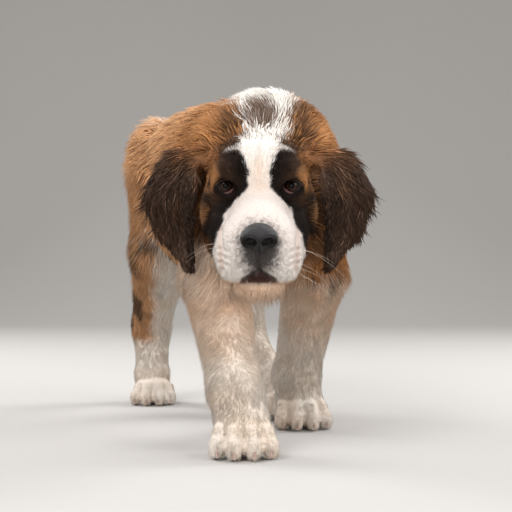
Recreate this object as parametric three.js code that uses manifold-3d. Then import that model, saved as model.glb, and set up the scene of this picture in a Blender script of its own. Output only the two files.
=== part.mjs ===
// A Saint Bernard puppy of about eleven weeks, walking with its head low, as a still life-size model.
// Millimetres, +Z up, the floor at z = 0. The puppy looks along -Y, and its left side is towards +X.
import * as THREE from "three";
import { mergeVertices } from "three/addons/utils/BufferGeometryUtils.js";
import Module from "manifold-3d";

const wasm = await Module();
wasm.setup();

// Driving dimensions
const WITHERS = 392; // top of the back, without the tips of the coat
const BRISKET = 150; // underside of the chest
const HALF_CHEST = 90;
const HALF_HIPS = 80;
const TRUNK = 300; // from the shoulders to the hips
const BODY_YAW = 21.5; // the rump swings out to the puppy's right
const HEAD_PITCH = 20; // the muzzle points below the horizon
const HALF_SKULL = 62;
const EYE_SPREAD = 34;
const EYE_R = 10.5;
const HALF_PAW = 37;
const HALF_WRIST = 28;
const HIND_SHARE = 0.88; // hind paws beside fore paws
const GAP = 0.32; // between nodes that touch
// How far the locks of the long coat stand up from the solid under them, on each part
const COAT = { torso: 10, neck: 11, limb: 7, tail: 7, ear: 3.5 };
const SHORTEST = 0.03; // edges shorter than this are closed up
const COAT_SEED = 19;

const rad = (degrees) => (degrees * Math.PI) / 180;
const V = (x, y, z) => new THREE.Vector3(x, y, z);

// A frame is an origin with three axes. at() takes a place in it to the model's own frame.
function frameOf(origin, a, b, c) {
  const at = (p) =>
    origin.clone().addScaledVector(a, p[0]).addScaledVector(b, p[1]).addScaledVector(c, p[2]);
  return { axes: [a, b, c], at };
}
const yaw = rad(BODY_YAW);
const pitch = rad(HEAD_PITCH);
// The body's frame: back along the spine, to the puppy's left, and up, from the floor under the shoulders.
const body = frameOf(
  V(16, 0, 0),
  V(-Math.sin(yaw), Math.cos(yaw), 0),
  V(Math.cos(yaw), Math.sin(yaw), 0),
  V(0, 0, 1),
);
// The head's frame: forward along the muzzle, to the puppy's left, and up, from midway between the eyes.
const head = frameOf(
  V(3, -105, 273),
  V(0, -Math.cos(pitch), -Math.sin(pitch)),
  V(1, 0, 0),
  V(0, -Math.sin(pitch), Math.cos(pitch)),
);
const world = frameOf(V(0, 0, 0), V(1, 0, 0), V(0, 1, 0), V(0, 0, 1));

// Muscle masses. Each gives about how far a point lies outside it.
function blob(frame, centre, radii) {
  const c = frame.at(centre);
  return (p) => {
    const d = p.clone().sub(c);
    let scaled = 0;
    let slope = 0;
    frame.axes.forEach((axis, i) => {
      const along = d.dot(axis) / radii[i];
      scaled += along * along;
      slope += (along / radii[i]) ** 2;
    });
    const k = Math.sqrt(scaled);
    return k < 1e-9 ? -Math.min(...radii) : (k * (k - 1)) / Math.sqrt(slope);
  };
}
function limb(from, to, r0, r1) {
  const span = to.clone().sub(from);
  const length2 = span.lengthSq();
  return (p) => {
    const d = p.clone().sub(from);
    const t = THREE.MathUtils.clamp(d.dot(span) / length2, 0, 1);
    return d.addScaledVector(span, -t).length() - THREE.MathUtils.lerp(r0, r1, t);
  };
}
// Masses run together over about soft mm.
const flesh = (masses, soft) => (p) => {
  let sum = 0;
  for (const m of masses) sum += Math.exp(-m(p) / soft);
  return -soft * Math.log(sum);
};
// The same mass on both sides of a frame's middle plane.
const both = (frame, [a, b, c], radii) => [
  blob(frame, [a, b, c], radii),
  blob(frame, [a, -b, c], radii),
];
function slopeOf(field, p) {
  const e = 0.5;
  const at = (x, y, z) => field(V(p.x + x, p.y + y, p.z + z));
  return V(at(e, 0, 0) - at(-e, 0, 0), at(0, e, 0) - at(0, -e, 0), at(0, 0, e) - at(0, 0, -e)).normalize();
}

function solid(points, faces) {
  const vertProperties = new Float32Array(points.length * 3);
  points.forEach((p, i) => vertProperties.set([p.x, p.y, p.z], i * 3));
  const triVerts = new Uint32Array(faces.flat());
  const made = new wasm.Manifold(new wasm.Mesh({ numProp: 3, vertProperties, triVerts }));
  if (made.volume() >= 0) return made;
  for (let i = 0; i < triVerts.length; i += 3)
    [triVerts[i + 1], triVerts[i + 2]] = [triVerts[i + 2], triVerts[i + 1]];
  return new wasm.Manifold(new wasm.Mesh({ numProp: 3, vertProperties, triVerts }));
}
// A skin round a path: rays leave the path, square to it, until the field is level. At an open end they fan
// out over the end to a pole, and at a flat one the ring is closed as it is.
function skin({ path, up, rings, sides, field, level = 0, from = 0, to = 1, flatStart, flatEnd, shift = 0, fan = 4, turn = 0 }) {
  const line = new THREE.CatmullRomCurve3(path, false, "centripetal");
  const points = [];
  const cast = (origin, ray) => {
    let r = 0;
    for (let i = 0; i < 26; i++) r = Math.max(0, r - (field(origin.clone().addScaledVector(ray, r)) - level));
    return origin.clone().addScaledVector(ray, r);
  };
  const rows = [];
  const steps = (t, lean, moved) => rows.push({ t, lean, moved });
  if (!flatStart) for (let i = 1; i <= fan; i++) steps(from, -((fan + 1 - i) / (fan + 1)) * 90, 0);
  for (let i = 0; i <= rings; i++) steps(from + ((to - from) * i) / rings, 0, i === 0 && flatStart ? shift : i === rings && flatEnd ? -shift : 0);
  if (!flatEnd) for (let i = 1; i <= fan; i++) steps(to, (i / (fan + 1)) * 90, 0);
  const at = ({ t, lean, moved }) => {
    const tangent = line.getTangentAt(t);
    const centre = line.getPointAt(t).addScaledVector(tangent, moved);
    const side = V(0, 0, 0).crossVectors(tangent, up).normalize();
    const top = V(0, 0, 0).crossVectors(side, tangent).normalize();
    return { centre, tangent, side, top, lean: rad(lean) };
  };
  const ends = rows.map(at);
  for (const f of ends)
    for (let j = 0; j < sides; j++) {
      const a = (2 * Math.PI * (j + turn)) / sides;
      const ray = f.side.clone().multiplyScalar(Math.cos(a)).addScaledVector(f.top, Math.sin(a));
      ray.multiplyScalar(Math.cos(f.lean)).addScaledVector(f.tangent, Math.sin(f.lean));
      points.push(cast(f.centre, ray));
    }
  const first = ends[0];
  const last = ends[ends.length - 1];
  points.push(flatStart ? first.centre : cast(first.centre, first.tangent.clone().negate()));
  points.push(flatEnd ? last.centre : cast(last.centre, last.tangent));
  return solid(points, tube(ends.length, sides));
}
const union = (list) => wasm.Manifold.union(list);
// The largest body of a join or a cut, without edges too short to tell apart.
const largest = (made) => made.decompose().sort((a, b) => b.volume() - a.volume())[0].simplify(SHORTEST);

// An ellipsoid mesh from a sphere geometry, for small parts.
function ellipsoid(frame, centre, radii, wide = 12, high = 8) {
  const sphere = new THREE.SphereGeometry(1, wide, high).scale(...radii);
  sphere.applyMatrix4(new THREE.Matrix4().makeBasis(...frame.axes).setPosition(frame.at(centre)));
  return fromGeometry(sphere);
}
function fromGeometry(geometry) {
  geometry.deleteAttribute("normal");
  geometry.deleteAttribute("uv");
  const merged = mergeVertices(geometry, 1e-4);
  const place = merged.attributes.position;
  const points = Array.from({ length: place.count }, (_, i) => V(0, 0, 0).fromBufferAttribute(place, i));
  const index = merged.index.array;
  const faces = [];
  for (let i = 0; i < index.length; i += 3) faces.push([index[i], index[i + 1], index[i + 2]]);
  return solid(points, faces);
}

// Trunk
const trunkField = flesh(
  [
    blob(body, [112, 0, BRISKET + 118], [128, HALF_CHEST, 116]),
    blob(body, [30, 0, BRISKET + 92], [48, 72, 90]),
    blob(body, [184, 0, 266], [120, HALF_CHEST - 4, 88]),
    blob(body, [44, 0, WITHERS - 48], [62, 50, 44]),
    blob(body, [190, 0, WITHERS - 68], [120, 74, 64]),
    blob(body, [TRUNK - 12, 0, WITHERS - 78], [78, HALF_HIPS - 4, 74]),
    ...both(body, [TRUNK - 24, 46, WITHERS - 62], [64, 40, 58]),
    ...both(body, [34, 62, 266], [46, 30, 82]),
  ],
  7,
);
const trunkPath = [body.at([10, 0, 262]), body.at([90, 0, 272]), body.at([200, 0, 282]), body.at([TRUNK, 0, 296])];
const trunkShape = (level) =>
  skin({
    path: trunkPath,
    up: V(0, 0, 1),
    rings: 8,
    sides: 16,
    field: (p) => trunkField(p) + COAT.torso,
    level,
    fan: 3,
  });

// Neck: it runs forward and a little down from the withers, thick with loose skin and coat.
const neckField = flesh(
  [
    limb(body.at([44, 0, 302]), head.at([-88, 0, -22]), 78, 62),
    blob(body, [2, 0, 331], [58, 78, 55]),
    blob(body, [-16, 0, 250], [40, 62, 70]),
  ],
  8,
);
const neckPath = [body.at([46, 0, 298]), body.at([0, 0, 298]), head.at([-84, 0, -18])];
const neckShape = (level) =>
  skin({
    path: neckPath,
    up: V(0, 0, 1),
    rings: 3,
    sides: 16,
    field: (p) => neckField(p) + COAT.neck,
    level,
    fan: 3,
  });

// Head
const headField = flesh(
  [
    blob(head, [-42, 0, 2], [58, HALF_SKULL - 4, 42]),
    blob(head, [-16, 0, 10], [32, 44, 34]),
    blob(head, [-88, 0, 8], [24, 30, 24]),
    ...both(head, [-36, 38, -34], [42, 25, 36]),
    ...both(head, [-6, 27, 17], [16, 16, 10]),
    blob(head, [32, 0, -24], [48, 27, 24]),
    blob(head, [10, 0, -30], [40, 34, 30]),
    ...both(head, [50, 20, -50], [34, 23, 35]),
    ...both(head, [36, 30, -62], [34, 15, 25]),
    ...both(head, [4, 36, -50], [36, 20, 28]),
  ],
  4.5,
);
const headPath = [head.at([-72, 0, -4]), head.at([-20, 0, -14]), head.at([30, 0, -34]), head.at([62, 0, -40])];
const headShape = (level) =>
  skin({ path: headPath, up: head.axes[2], rings: 12, sides: 24, field: headField, level, fan: 3 });
const jawField = flesh(
  [
    blob(head, [42, 0, -87], [30, 26, 14]),
    blob(head, [8, 0, -82], [44, 34, 18]),
    blob(head, [-34, 0, -72], [34, 42, 22]),
  ],
  5,
);
const jawShape = (level) =>
  skin({
    path: [head.at([-44, 0, -72]), head.at([0, 0, -80]), head.at([48, 0, -87])],
    up: head.axes[2],
    rings: 6,
    sides: 12,
    field: jawField,
    level,
    fan: 3,
  });
const eyeCentre = (side) => [-8.5, side * EYE_SPREAD, -1];
const eyeShape = (side, grow) =>
  ellipsoid(head, eyeCentre(side), [EYE_R + grow, EYE_R + grow, EYE_R + grow], 11, 7);
// A lid is a shell round the eyeball with an almond opening.
const lidShape = (side, level) =>
  ellipsoid(head, eyeCentre(side), [2.6, 3.2, 2.4].map((lid) => EYE_R + lid + level), 12, 8);
const almond = (side, level) =>
  ellipsoid(head, [2, side * (EYE_SPREAD + 1), -1.5], [14 - level, 8.6 - level, 6.2 - level], 10, 6);
const noseField = flesh(
  [
    blob(head, [79, 0, -21], [12, 15, 10]),
    ...both(head, [81, 11, -29], [10, 9.5, 10]),
    blob(head, [83, 0, -34], [8, 8, 12]),
  ],
  2.2,
);
const noseShape = (level) =>
  skin({
    path: [head.at([76, 0, -26]), head.at([86, 0, -29])],
    up: head.axes[2],
    rings: 2,
    sides: 16,
    field: noseField,
    level,
    fan: 3,
  });
const nostril = (side) =>
  union([
    ellipsoid(head, [92, side * 9.5, -30], [8, 4.2, 3.4], 8, 5),
    ellipsoid(head, [90, side * 14.5, -33], [8, 4.6, 1.7], 8, 5),
  ]);

// Ears: cupped flaps that hang from the sides of the skull, out and forward. A place on one is given by how
// far down it is (t), the angle round its section (a) and how far out from its leather.
const EAR_WIDTHS = [12, 27, 34, 31, 20, 9];
const earPath = (side) =>
  new THREE.CatmullRomCurve3([
    head.at([-46, side * 50, 24]),
    head.at([-44, side * 76, 16]),
    head.at([-34, side * 92, -12]),
    head.at([-22, side * 92, -44]),
    head.at([-8, side * 82, -72]),
    head.at([0, side * 75, -92]),
  ]);
function earFrame(side, t) {
  const line = earPath(side);
  const along = line.getTangent(Math.min(1, t));
  const across = V(side * 0.86, 0.5, 0).normalize();
  const out = V(0, 0, 0).crossVectors(along, across).normalize();
  if (out.y > 0) out.negate();
  const wide = V(0, 0, 0).crossVectors(out, along).normalize();
  const centre = line.getPoint(Math.min(1, t)).addScaledVector(along, 150 * Math.max(0, t - 1));
  return { centre, along, out, wide };
}
function earPlace(side, t, a, grow) {
  const { centre, out, wide } = earFrame(side, t);
  const w = sampled(EAR_WIDTHS, Math.min(1, t)) + grow;
  const thick = THREE.MathUtils.lerp(9.5, 4.5, Math.min(1, t)) + grow;
  const cup = 9 * Math.sin(a) ** 2 * Math.sin(Math.PI * Math.min(1, t + 0.15));
  return centre.addScaledVector(wide, w * Math.cos(a)).addScaledVector(out, thick * Math.sin(a) + cup - 4);
}
function earShape(side, level) {
  const rings = 8;
  const sides = 10;
  const points = [];
  for (let i = 0; i <= rings; i++)
    for (let j = 0; j < sides; j++)
      points.push(earPlace(side, (0.97 * i) / rings, (2 * Math.PI * j) / sides, level - COAT.ear));
  points.push(earFrame(side, 0).centre);
  const end = earFrame(side, 1);
  points.push(end.centre.addScaledVector(end.along, level));
  return solid(points, tube(rings + 1, sides));
}
// The faces of a tube of rows of points, closed at both ends by two more points.
function tube(rows, sides) {
  const faces = [];
  for (let j = 0; j < sides; j++) {
    const k = (j + 1) % sides;
    faces.push([rows * sides, j, k], [rows * sides + 1, (rows - 1) * sides + k, (rows - 1) * sides + j]);
    for (let i = 0; i + 1 < rows; i++) {
      const [a, b, c, d] = [i * sides + j, i * sides + k, (i + 1) * sides + k, (i + 1) * sides + j];
      faces.push([a, d, c], [a, c, b]);
    }
  }
  return faces;
}
function sampled(values, t) {
  const x = t * (values.length - 1);
  const i = Math.min(values.length - 2, Math.floor(x));
  return THREE.MathUtils.lerp(values[i], values[i + 1], x - i);
}

// Tail: it hangs to the hocks.
const tailPath = [
  body.at([TRUNK + 40, 0, 330]),
  body.at([TRUNK + 84, 2, 292]),
  body.at([TRUNK + 112, 6, 230]),
  body.at([TRUNK + 116, 9, 160]),
  body.at([TRUNK + 106, 12, 104]),
];
const tailField = flesh(
  tailPath.slice(1).map((p, i) => limb(tailPath[i], p, [24, 21, 18, 15][i], [21, 18, 15, 9][i])),
  5,
);
const tailShape = (level) =>
  skin({
    path: tailPath,
    up: V(0, 1, 0.3),
    rings: 8,
    sides: 8,
    field: (p) => tailField(p) + COAT.tail,
    level,
    fan: 2,
  });

// Legs: joints from the trunk down to the middle of the paw, with the flesh's radius at each.
const LEGS = {
  fore_right: {
    joints: [body.at([26, -50, 322]), body.at([2, -52, 250]), V(-46, -26, 188), V(-22, -106, 66), V(-14, -121, 30)],
    radii: [44, 50, 41, HALF_WRIST, HALF_WRIST + 1],
    toes: V(0.04, -1, 0),
    paw: V(-13, -124, 0),
    share: 1,
  },
  fore_left: {
    joints: [body.at([26, 50, 322]), body.at([6, 52, 250]), V(68, 38, 190), V(48, 84, 62), V(52, 88, 30)],
    radii: [44, 50, 41, HALF_WRIST, HALF_WRIST + 1],
    toes: V(0.12, -1, 0),
    paw: V(53, 84, 0),
    share: 0.97,
  },
  hind_right: {
    joints: [body.at([TRUNK - 22, -36, 302]), body.at([TRUNK - 34, -47, 214]), V(-147, 346, 106), V(-145, 332, 30)],
    radii: [60, 46, 27, 25],
    toes: V(0.0, -1, 0),
    paw: V(-141, 318, 0),
    share: HIND_SHARE,
  },
  hind_left: {
    joints: [body.at([TRUNK - 22, 36, 302]), body.at([TRUNK - 66, 46, 208]), V(-14, 246, 96), V(26, 184, 34)],
    radii: [60, 46, 27, 25],
    toes: V(0.1, -1, 0),
    paw: V(34, 164, 0),
    share: HIND_SHARE,
  },
};
const ELBOW_Z = 138; // where the elbow or knee parts a leg
const WRIST_Z = 42; // where the paw begins

function legField(leg) {
  const masses = [];
  for (let i = 0; i + 1 < leg.joints.length; i++)
    masses.push(limb(leg.joints[i], leg.joints[i + 1], leg.radii[i], leg.radii[i + 1]));
  return flesh(masses, 7);
}
// A paw has four toes in a fan, each with a knuckle and a tip, over its pads.
function pawField(leg) {
  const forward = leg.toes.clone().normalize();
  const left = V(0, 0, 0).crossVectors(forward, V(0, 0, 1)).negate();
  const s = leg.share;
  const paw = frameOf(leg.paw, forward, left, V(0, 0, 1));
  const [wrist, ankle] = leg.joints.slice(-2);
  const masses = [limb(wrist, ankle, ...leg.radii.slice(-2)), blob(paw, [0, 0, 22 * s], [32 * s, 29 * s, 22 * s])];
  masses.push(blob(paw, [-4 * s, 0, 9 * s], [19 * s, 19 * s, 11.5 * s]));
  toePlaces(s).forEach(([reach, across]) => {
    masses.push(blob(paw, [reach - 11 * s, across * 0.86, 20 * s], [16 * s, 9.5 * s, 16 * s]));
    masses.push(blob(paw, [reach, across, 10.5 * s], [12 * s, 8.8 * s, 12.8 * s]));
  });
  return { field: flesh(masses, 2.6), paw };
}
// The middle of each toe's tip, before the paw's own middle and beside it.
function toePlaces(s) {
  const across = [-HALF_PAW + 10, -10, 10, HALF_PAW - 10];
  const reach = [22, 32, 32, 22];
  return across.map((x, i) => [reach[i] * s, x * s]);
}
const legPath = (leg) => [...leg.joints, leg.paw.clone().setZ(12)];
// How far along a leg's path it first comes down to a height.
function reaches(leg, height) {
  const line = new THREE.CatmullRomCurve3(legPath(leg), false, "centripetal");
  let t = 0;
  while (line.getPointAt(t).z > height) t += 0.002;
  return t;
}
const forwardOf = (leg) => leg.toes.clone().normalize().negate();
function legPiece(leg, from, to, field, rings, sides, level, flatStart, flatEnd) {
  const path = legPath(leg);
  const shift = GAP / 2 - level;
  const up = forwardOf(leg);
  return skin({ path, up, rings, sides, field, from, to, level, shift, flatStart, flatEnd, fan: 3 });
}
// A claw curves down from the front of a toe.
function clawShape(leg, place, level) {
  const { paw } = leg.made;
  const s = leg.share;
  const [reach, across] = place;
  const root = paw.at([reach + 8.6 * s, across, 11.5 * s]);
  const forward = paw.axes[0];
  const points = [];
  const sides = 5;
  const steps = 3;
  for (let i = 0; i < steps; i++) {
    const t = i / steps;
    const r = 3.4 * s * (1 - 0.5 * t) + level;
    const centre = root.clone().addScaledVector(forward, -4 + 11 * t).add(V(0, 0, -6 * t * t));
    for (let j = 0; j < sides; j++) {
      const a = (2 * Math.PI * j) / sides;
      points.push(centre.clone().addScaledVector(paw.axes[1], r * Math.cos(a)).add(V(0, 0, r * 1.15 * Math.sin(a))));
    }
  }
  points.push(root.clone().addScaledVector(forward, -4.5 - level));
  points.push(root.clone().addScaledVector(forward, 6.6 + level).add(V(0, 0, -7 - level)));
  return solid(points, tube(steps, sides));
}

// Locks of the long coat: flat blades, rooted in the solid, that lie along the coat and lift at their tips.
const LOCKS = {
  flank: { long: 84, wide: 38, thick: 10, rise: 3.5 },
  ruff: { long: 60, wide: 27, thick: 11, rise: 7 },
  nape: { long: 50, wide: 26, thick: 12, rise: 12 },
  breast: { long: 60, wide: 29, thick: 9, rise: 3.5 },
  fringe: { long: 34, wide: 16, thick: 6, rise: 5 },
  brush: { long: 56, wide: 20, thick: 8, rise: 3 },
};
let seed = COAT_SEED;
function random() {
  seed = (seed + 0x6d2b79f5) | 0;
  let t = Math.imul(seed ^ (seed >>> 15), 1 | seed);
  t = (t + Math.imul(t ^ (t >>> 7), 61 | t)) ^ t;
  return ((t ^ (t >>> 14)) >>> 0) / 4294967296;
}
const jitter = (amount) => (random() * 2 - 1) * amount;

// A blade round a row of stations { centre, along, out, wide, thick }, to a point at the tip.
function blade(stations, tip, level) {
  const points = [];
  for (const { centre, along, out, wide, thick } of stations) {
    const across = V(0, 0, 0).crossVectors(along, out).normalize();
    for (const [x, y] of [[1, -0.4], [0, 1], [-1, -0.4]])
      points.push(
        centre
          .clone()
          .addScaledVector(across, x * (wide / 2 + 4 * level))
          .addScaledVector(out, y * (thick / 2) + (y > 0 ? 1.6 : -1) * level),
      );
  }
  const first = stations[0];
  points.push(first.centre.clone().addScaledVector(first.along, -2 - level));
  const last = tip.centre.clone().sub(stations[stations.length - 1].centre).normalize();
  points.push(tip.centre.clone().addScaledVector(last, 4 * level));
  return solid(points, tube(stations.length, 3));
}
const allFields = [];
const surface = (p) => Math.min(...allFields.map((f) => f(p)));
// One lock from a root on the skin. flow(p) is the way the coat lies there, depth is how deep the root is.
function lockFrom(root, flow, size, depth) {
  const length = size.long * (1 + jitter(0.2));
  const wide = size.wide * (1 + jitter(0.15));
  const turn = jitter(0.3);
  const rise = size.rise + jitter(2);
  const steps = [
    [0, -depth - 4, 0.7, 0.8],
    [0.28, -depth * 0.35, 1, 1],
    [0.68, -0.5, 0.75, 0.7],
    [1, rise, 0, 0],
  ];
  const p = root.clone();
  const stations = steps.map(([t, height, w, h], i) => {
    const out = slopeOf(surface, p);
    const lie = flow(p).normalize();
    lie.addScaledVector(out, -lie.dot(out)).normalize();
    lie.applyAxisAngle(out, turn * (1 - t));
    const next = steps[Math.min(i + 1, 3)][0] - t;
    p.addScaledVector(out, height - surface(p));
    const station = { centre: p.clone(), along: lie, out, wide: wide * w, thick: size.thick * h };
    p.addScaledVector(lie, length * next);
    return station;
  });
  // A lock that would fold over itself in a hollow is left out.
  const folds = stations.slice(1).some((station, i) => {
    const before = stations[i];
    const step = station.centre.clone().sub(before.centre).normalize();
    return station.out.dot(before.out) < 0.1 || step.dot(before.along) < 0.2;
  });
  return folds ? null : (level) => blade(stations.slice(0, 3), stations[3], level);
}
// Rows of locks on a skin. rows gives, for each row, how far along the path it is and how many locks it has.
function coat({ path, up, field, rows, span, flow, size, depth, keep, buried = 2 }) {
  const line = new THREE.CatmullRomCurve3(path, false, "centripetal");
  const locks = [];
  rows.forEach(([t, count], row) => {
    for (let j = 0; j < count; j++) {
      const tangent = line.getTangentAt(t);
      const side = V(0, 0, 0).crossVectors(tangent, up).normalize();
      const top = V(0, 0, 0).crossVectors(side, tangent).normalize();
      const share = (j + 0.5 * (row % 2) + 0.25 + jitter(0.2)) / count;
      const a = rad(span[0] + (span[1] - span[0]) * share);
      const ray = side.multiplyScalar(Math.cos(a)).addScaledVector(top, Math.sin(a));
      const p = line.getPointAt(THREE.MathUtils.clamp(t + jitter(0.012), 0, 1));
      let r = 0;
      for (let i = 0; i < 24; i++) r -= field(p.clone().addScaledVector(ray, r)) + depth;
      p.addScaledVector(ray, r);
      if (surface(p) > -depth - buried && (!keep || keep(p))) locks.push(lockFrom(p, flow, size, depth));
    }
  });
  return locks.filter(Boolean);
}
// The lie of the coat on the trunk and neck: back along the spine, and more and more down on the sides.
const bodyPlace = (p) => {
  const d = p.clone().sub(V(16, 0, 0));
  return body.axes.map((axis) => d.dot(axis));
};
function trunkFlow(p) {
  const [a, b, c] = bodyPlace(p);
  const low = THREE.MathUtils.clamp((WITHERS - c) / 150, 0, 1);
  const front = THREE.MathUtils.clamp((50 - a) / 60, 0, 1);
  const down = 0.15 + 0.75 * low + 1.6 * front * low;
  const outward = Math.sign(b) * 0.35 * (1 - low);
  return V(0, 0, -down).addScaledVector(body.axes[0], 1 - 0.4 * front * low).addScaledVector(body.axes[1], outward);
}
const legFlow = () => V(0, 0, -1).addScaledVector(body.axes[0], 0.35);

// An ear's long hair: wavy locks down its outer face and along both edges, past the end of the leather.
function earLocks(side) {
  const locks = [];
  const places = [
    [0.12, 0.5], [0.16, 0.12], [0.18, 0.88], [0.42, 0.32], [0.46, 0.68], [0.5, 0.02], [0.52, 0.98],
    [0.72, 0.3], [0.76, 0.7],
  ];
  for (const [t, share] of places) {
    const a = Math.PI * share + jitter(0.08);
    const reach = 0.34 + jitter(0.05);
    const swing = jitter(0.12);
    const wide = 22 + jitter(2.5);
    const stations = [[0, -3, 0.7, 0.8], [0.35, 0.5, 1, 1], [0.7, 2.5, 0.75, 0.7], [1, 3.5, 0, 0]].map(([x, rise, w, h]) => {
      const at = t + reach * x;
      const { along, out } = earFrame(side, at);
      const bend = a + swing * x * x;
      const face = out.clone().multiplyScalar(Math.sin(a) + 0.35);
      face.normalize();
      return { centre: earPlace(side, at, bend, rise - COAT.ear), along, out: face, wide: wide * w, thick: 6 * h };
    });
    locks.push((level) => blade(stations.slice(0, 3), stations[3], level));
  }
  return locks;
}

// Build the nodes. Each is cut by every node before it, a little larger, so that they meet face to face.
const nodes = new Map();
const colours = {
  tan: [0xb07848, 0.9],
  white: [0xeae2d8, 0.9],
  dark: [0x3a2e2a, 0.9],
  leather: [0x1c191a, 0.45],
  eye: [0x2a1712, 0.1],
  claw: [0x8a6458, 0.5],
};
// shape(level) is the node's solid, level mm larger all round.
function add(name, shape, colour) {
  let made = shape(0);
  const near = made.boundingBox();
  for (const [other, { grown, box }] of nodes) {
    const apart = [0, 1, 2].some((k) => near.min[k] > box.max[k] + 1 || near.max[k] < box.min[k] - 1);
    if (!apart) made = made.subtract(grown);
  }
  const grown = shape(GAP).add(shape(0));
  nodes.set(name, { made: largest(made), grown, box: grown.boundingBox(), colour });
}

function skullShape(level) {
  let made = headShape(level);
  for (const side of [-1, 1]) made = made.add(lidShape(side, level));
  for (const side of [-1, 1]) made = made.subtract(almond(side, level));
  return made;
}
function noseWhole(level) {
  let made = noseShape(level);
  if (level === 0) for (const side of [-1, 1]) made = made.subtract(nostril(side));
  return made;
}
const sides = [["right", -1], ["left", 1]];
allFields.push(trunkField, neckField, headField, jawField, tailField);
for (const leg of Object.values(LEGS)) {
  leg.field = legField(leg);
  leg.made = pawField(leg);
  allFields.push(leg.field);
}
// A node's shape with its locks joined to it.
const coated = (shape, locks) => (level) => union([shape(level), ...locks.map((lock) => lock(level))]);
const faceClear = (p) => headField(p) > 4;

for (const [name, side] of sides) add("eye_" + name, (level) => eyeShape(side, level), "eye");
add("nose", noseWhole, "leather");
add("head", skullShape, "white");
add("lower_jaw", jawShape, "white");
for (const [name, side] of sides) add("ear_" + name, coated((level) => earShape(side, level), earLocks(side)), "dark");
const trunkLocks = coat({
  path: trunkPath,
  up: V(0, 0, 1),
  field: trunkField,
  rows: [[0.04, 7], [0.22, 8], [0.41, 8], [0.6, 8], [0.79, 8], [0.96, 7]],
  span: [-90, 270],
  flow: trunkFlow,
  size: LOCKS.flank,
  depth: COAT.torso,
  keep: (p) => headField(p) > 30,
});
// The ends of the trunk: the breech round the tail, and the breast under the throat.
const breechLocks = coat({
  path: [body.at([TRUNK - 6, 0, 366]), body.at([TRUNK - 6, 0, 250])],
  up: body.axes[0],
  field: trunkField,
  rows: [[0.15, 5], [0.5, 5], [0.85, 4]],
  span: [0, 180],
  flow: () => V(0, 0, -1).addScaledVector(body.axes[0], 0.3),
  size: LOCKS.flank,
  depth: COAT.torso,
  keep: (p) => tailField(p) > 6,
});
const breastLocks = coat({
  path: [body.at([40, 0, 300]), body.at([40, 0, 190])],
  up: body.axes[0].clone().negate(),
  field: trunkField,
  rows: [[0.5, 4], [0.85, 5]],
  span: [10, 170],
  flow: trunkFlow,
  size: LOCKS.breast,
  depth: COAT.torso,
  keep: (p) => headField(p) > 8 && jawField(p) > 8,
});
add("torso", coated(trunkShape, [...trunkLocks, ...breechLocks, ...breastLocks]), "tan");
for (const [name, leg] of Object.entries(LEGS)) {
  toePlaces(leg.share).forEach((place, i) =>
    add("claw_" + name + "_" + (i + 1), (level) => clawShape(leg, place, level), "claw"),
  );
  const hind = name.startsWith("hind");
  const [upper, lower] = hind ? ["thigh_", "shank_"] : ["upper_arm_", "forearm_"];
  const elbow = reaches(leg, ELBOW_Z);
  const wrist = reaches(leg, WRIST_Z);
  const pawShape = (level) =>
    legPiece(leg, wrist, 1, leg.made.field, 3, 28, level, true, false).trimByPlane([0, 0, 1], 0);
  // The limb's coat is long at the top and short from the elbow or knee down.
  const inset = (p) => COAT.limb * THREE.MathUtils.smoothstep(p.z, ELBOW_Z + 4, ELBOW_Z + 60);
  const under = (p) => leg.field(p) + inset(p);
  const upperLocks = coat({
    path: legPath(leg),
    up: forwardOf(leg),
    field: leg.field,
    rows: hind ? [[0.1, 6], [0.3, 6]] : [[0.03, 6], [0.13, 6], [0.27, 5]],
    buried: hind ? 3 : 8,
    span: [-90, 270],
    flow: legFlow,
    size: LOCKS.breast,
    depth: COAT.limb,
    keep: (p) => headField(p) > 12 && trunkField(p) > -COAT.limb - 8 && p.z > ELBOW_Z + 30,
  });
  const feathers = coat({
    path: legPath(leg),
    up: forwardOf(leg),
    field: leg.field,
    rows: hind ? [[elbow + 0.04, 2]] : [[elbow + 0.03, 2], [elbow + 0.15, 2]],
    span: [60, 130],
    flow: legFlow,
    size: LOCKS.fringe,
    depth: 2,
  });
  add("paw_" + name, pawShape, "white");
  const lowerShape = (level) => legPiece(leg, elbow, wrist, leg.field, 4, 14, level, true, true);
  add(lower + name, coated(lowerShape, feathers), "white");
  const upperShape = (level) => legPiece(leg, 0, elbow, under, 5, 14, level, false, true);
  add(upper + name, coated(upperShape, upperLocks), "tan");
}
const neckLocks = coat({
  path: neckPath,
  up: V(0, 0, 1),
  field: neckField,
  rows: [[0.5, 5], [0.85, 6]],
  span: [160, 380],
  flow: trunkFlow,
  size: LOCKS.ruff,
  depth: COAT.neck,
  keep: faceClear,
});
const napeLocks = coat({
  path: neckPath,
  up: V(0, 0, 1),
  field: neckField,
  rows: [[0.35, 5], [0.65, 6], [0.92, 7]],
  span: [20, 165],
  flow: (p) => trunkFlow(p).add(V(0, 0, 0.25)),
  size: LOCKS.nape,
  depth: COAT.neck,
  keep: faceClear,
});
add("neck", coated(neckShape, [...neckLocks, ...napeLocks]), "white");
const tailLocks = coat({
  path: tailPath,
  up: V(0, 1, 0.3),
  field: tailField,
  rows: [[0.32, 3], [0.57, 3], [0.82, 3]],
  span: [-90, 270],
  flow: (p) => V(0, 0, -1).addScaledVector(body.axes[0], p.z > 250 ? 0.7 : 0),
  size: LOCKS.brush,
  depth: COAT.tail,
});
add("tail", coated(tailShape, tailLocks), "white");

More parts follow.
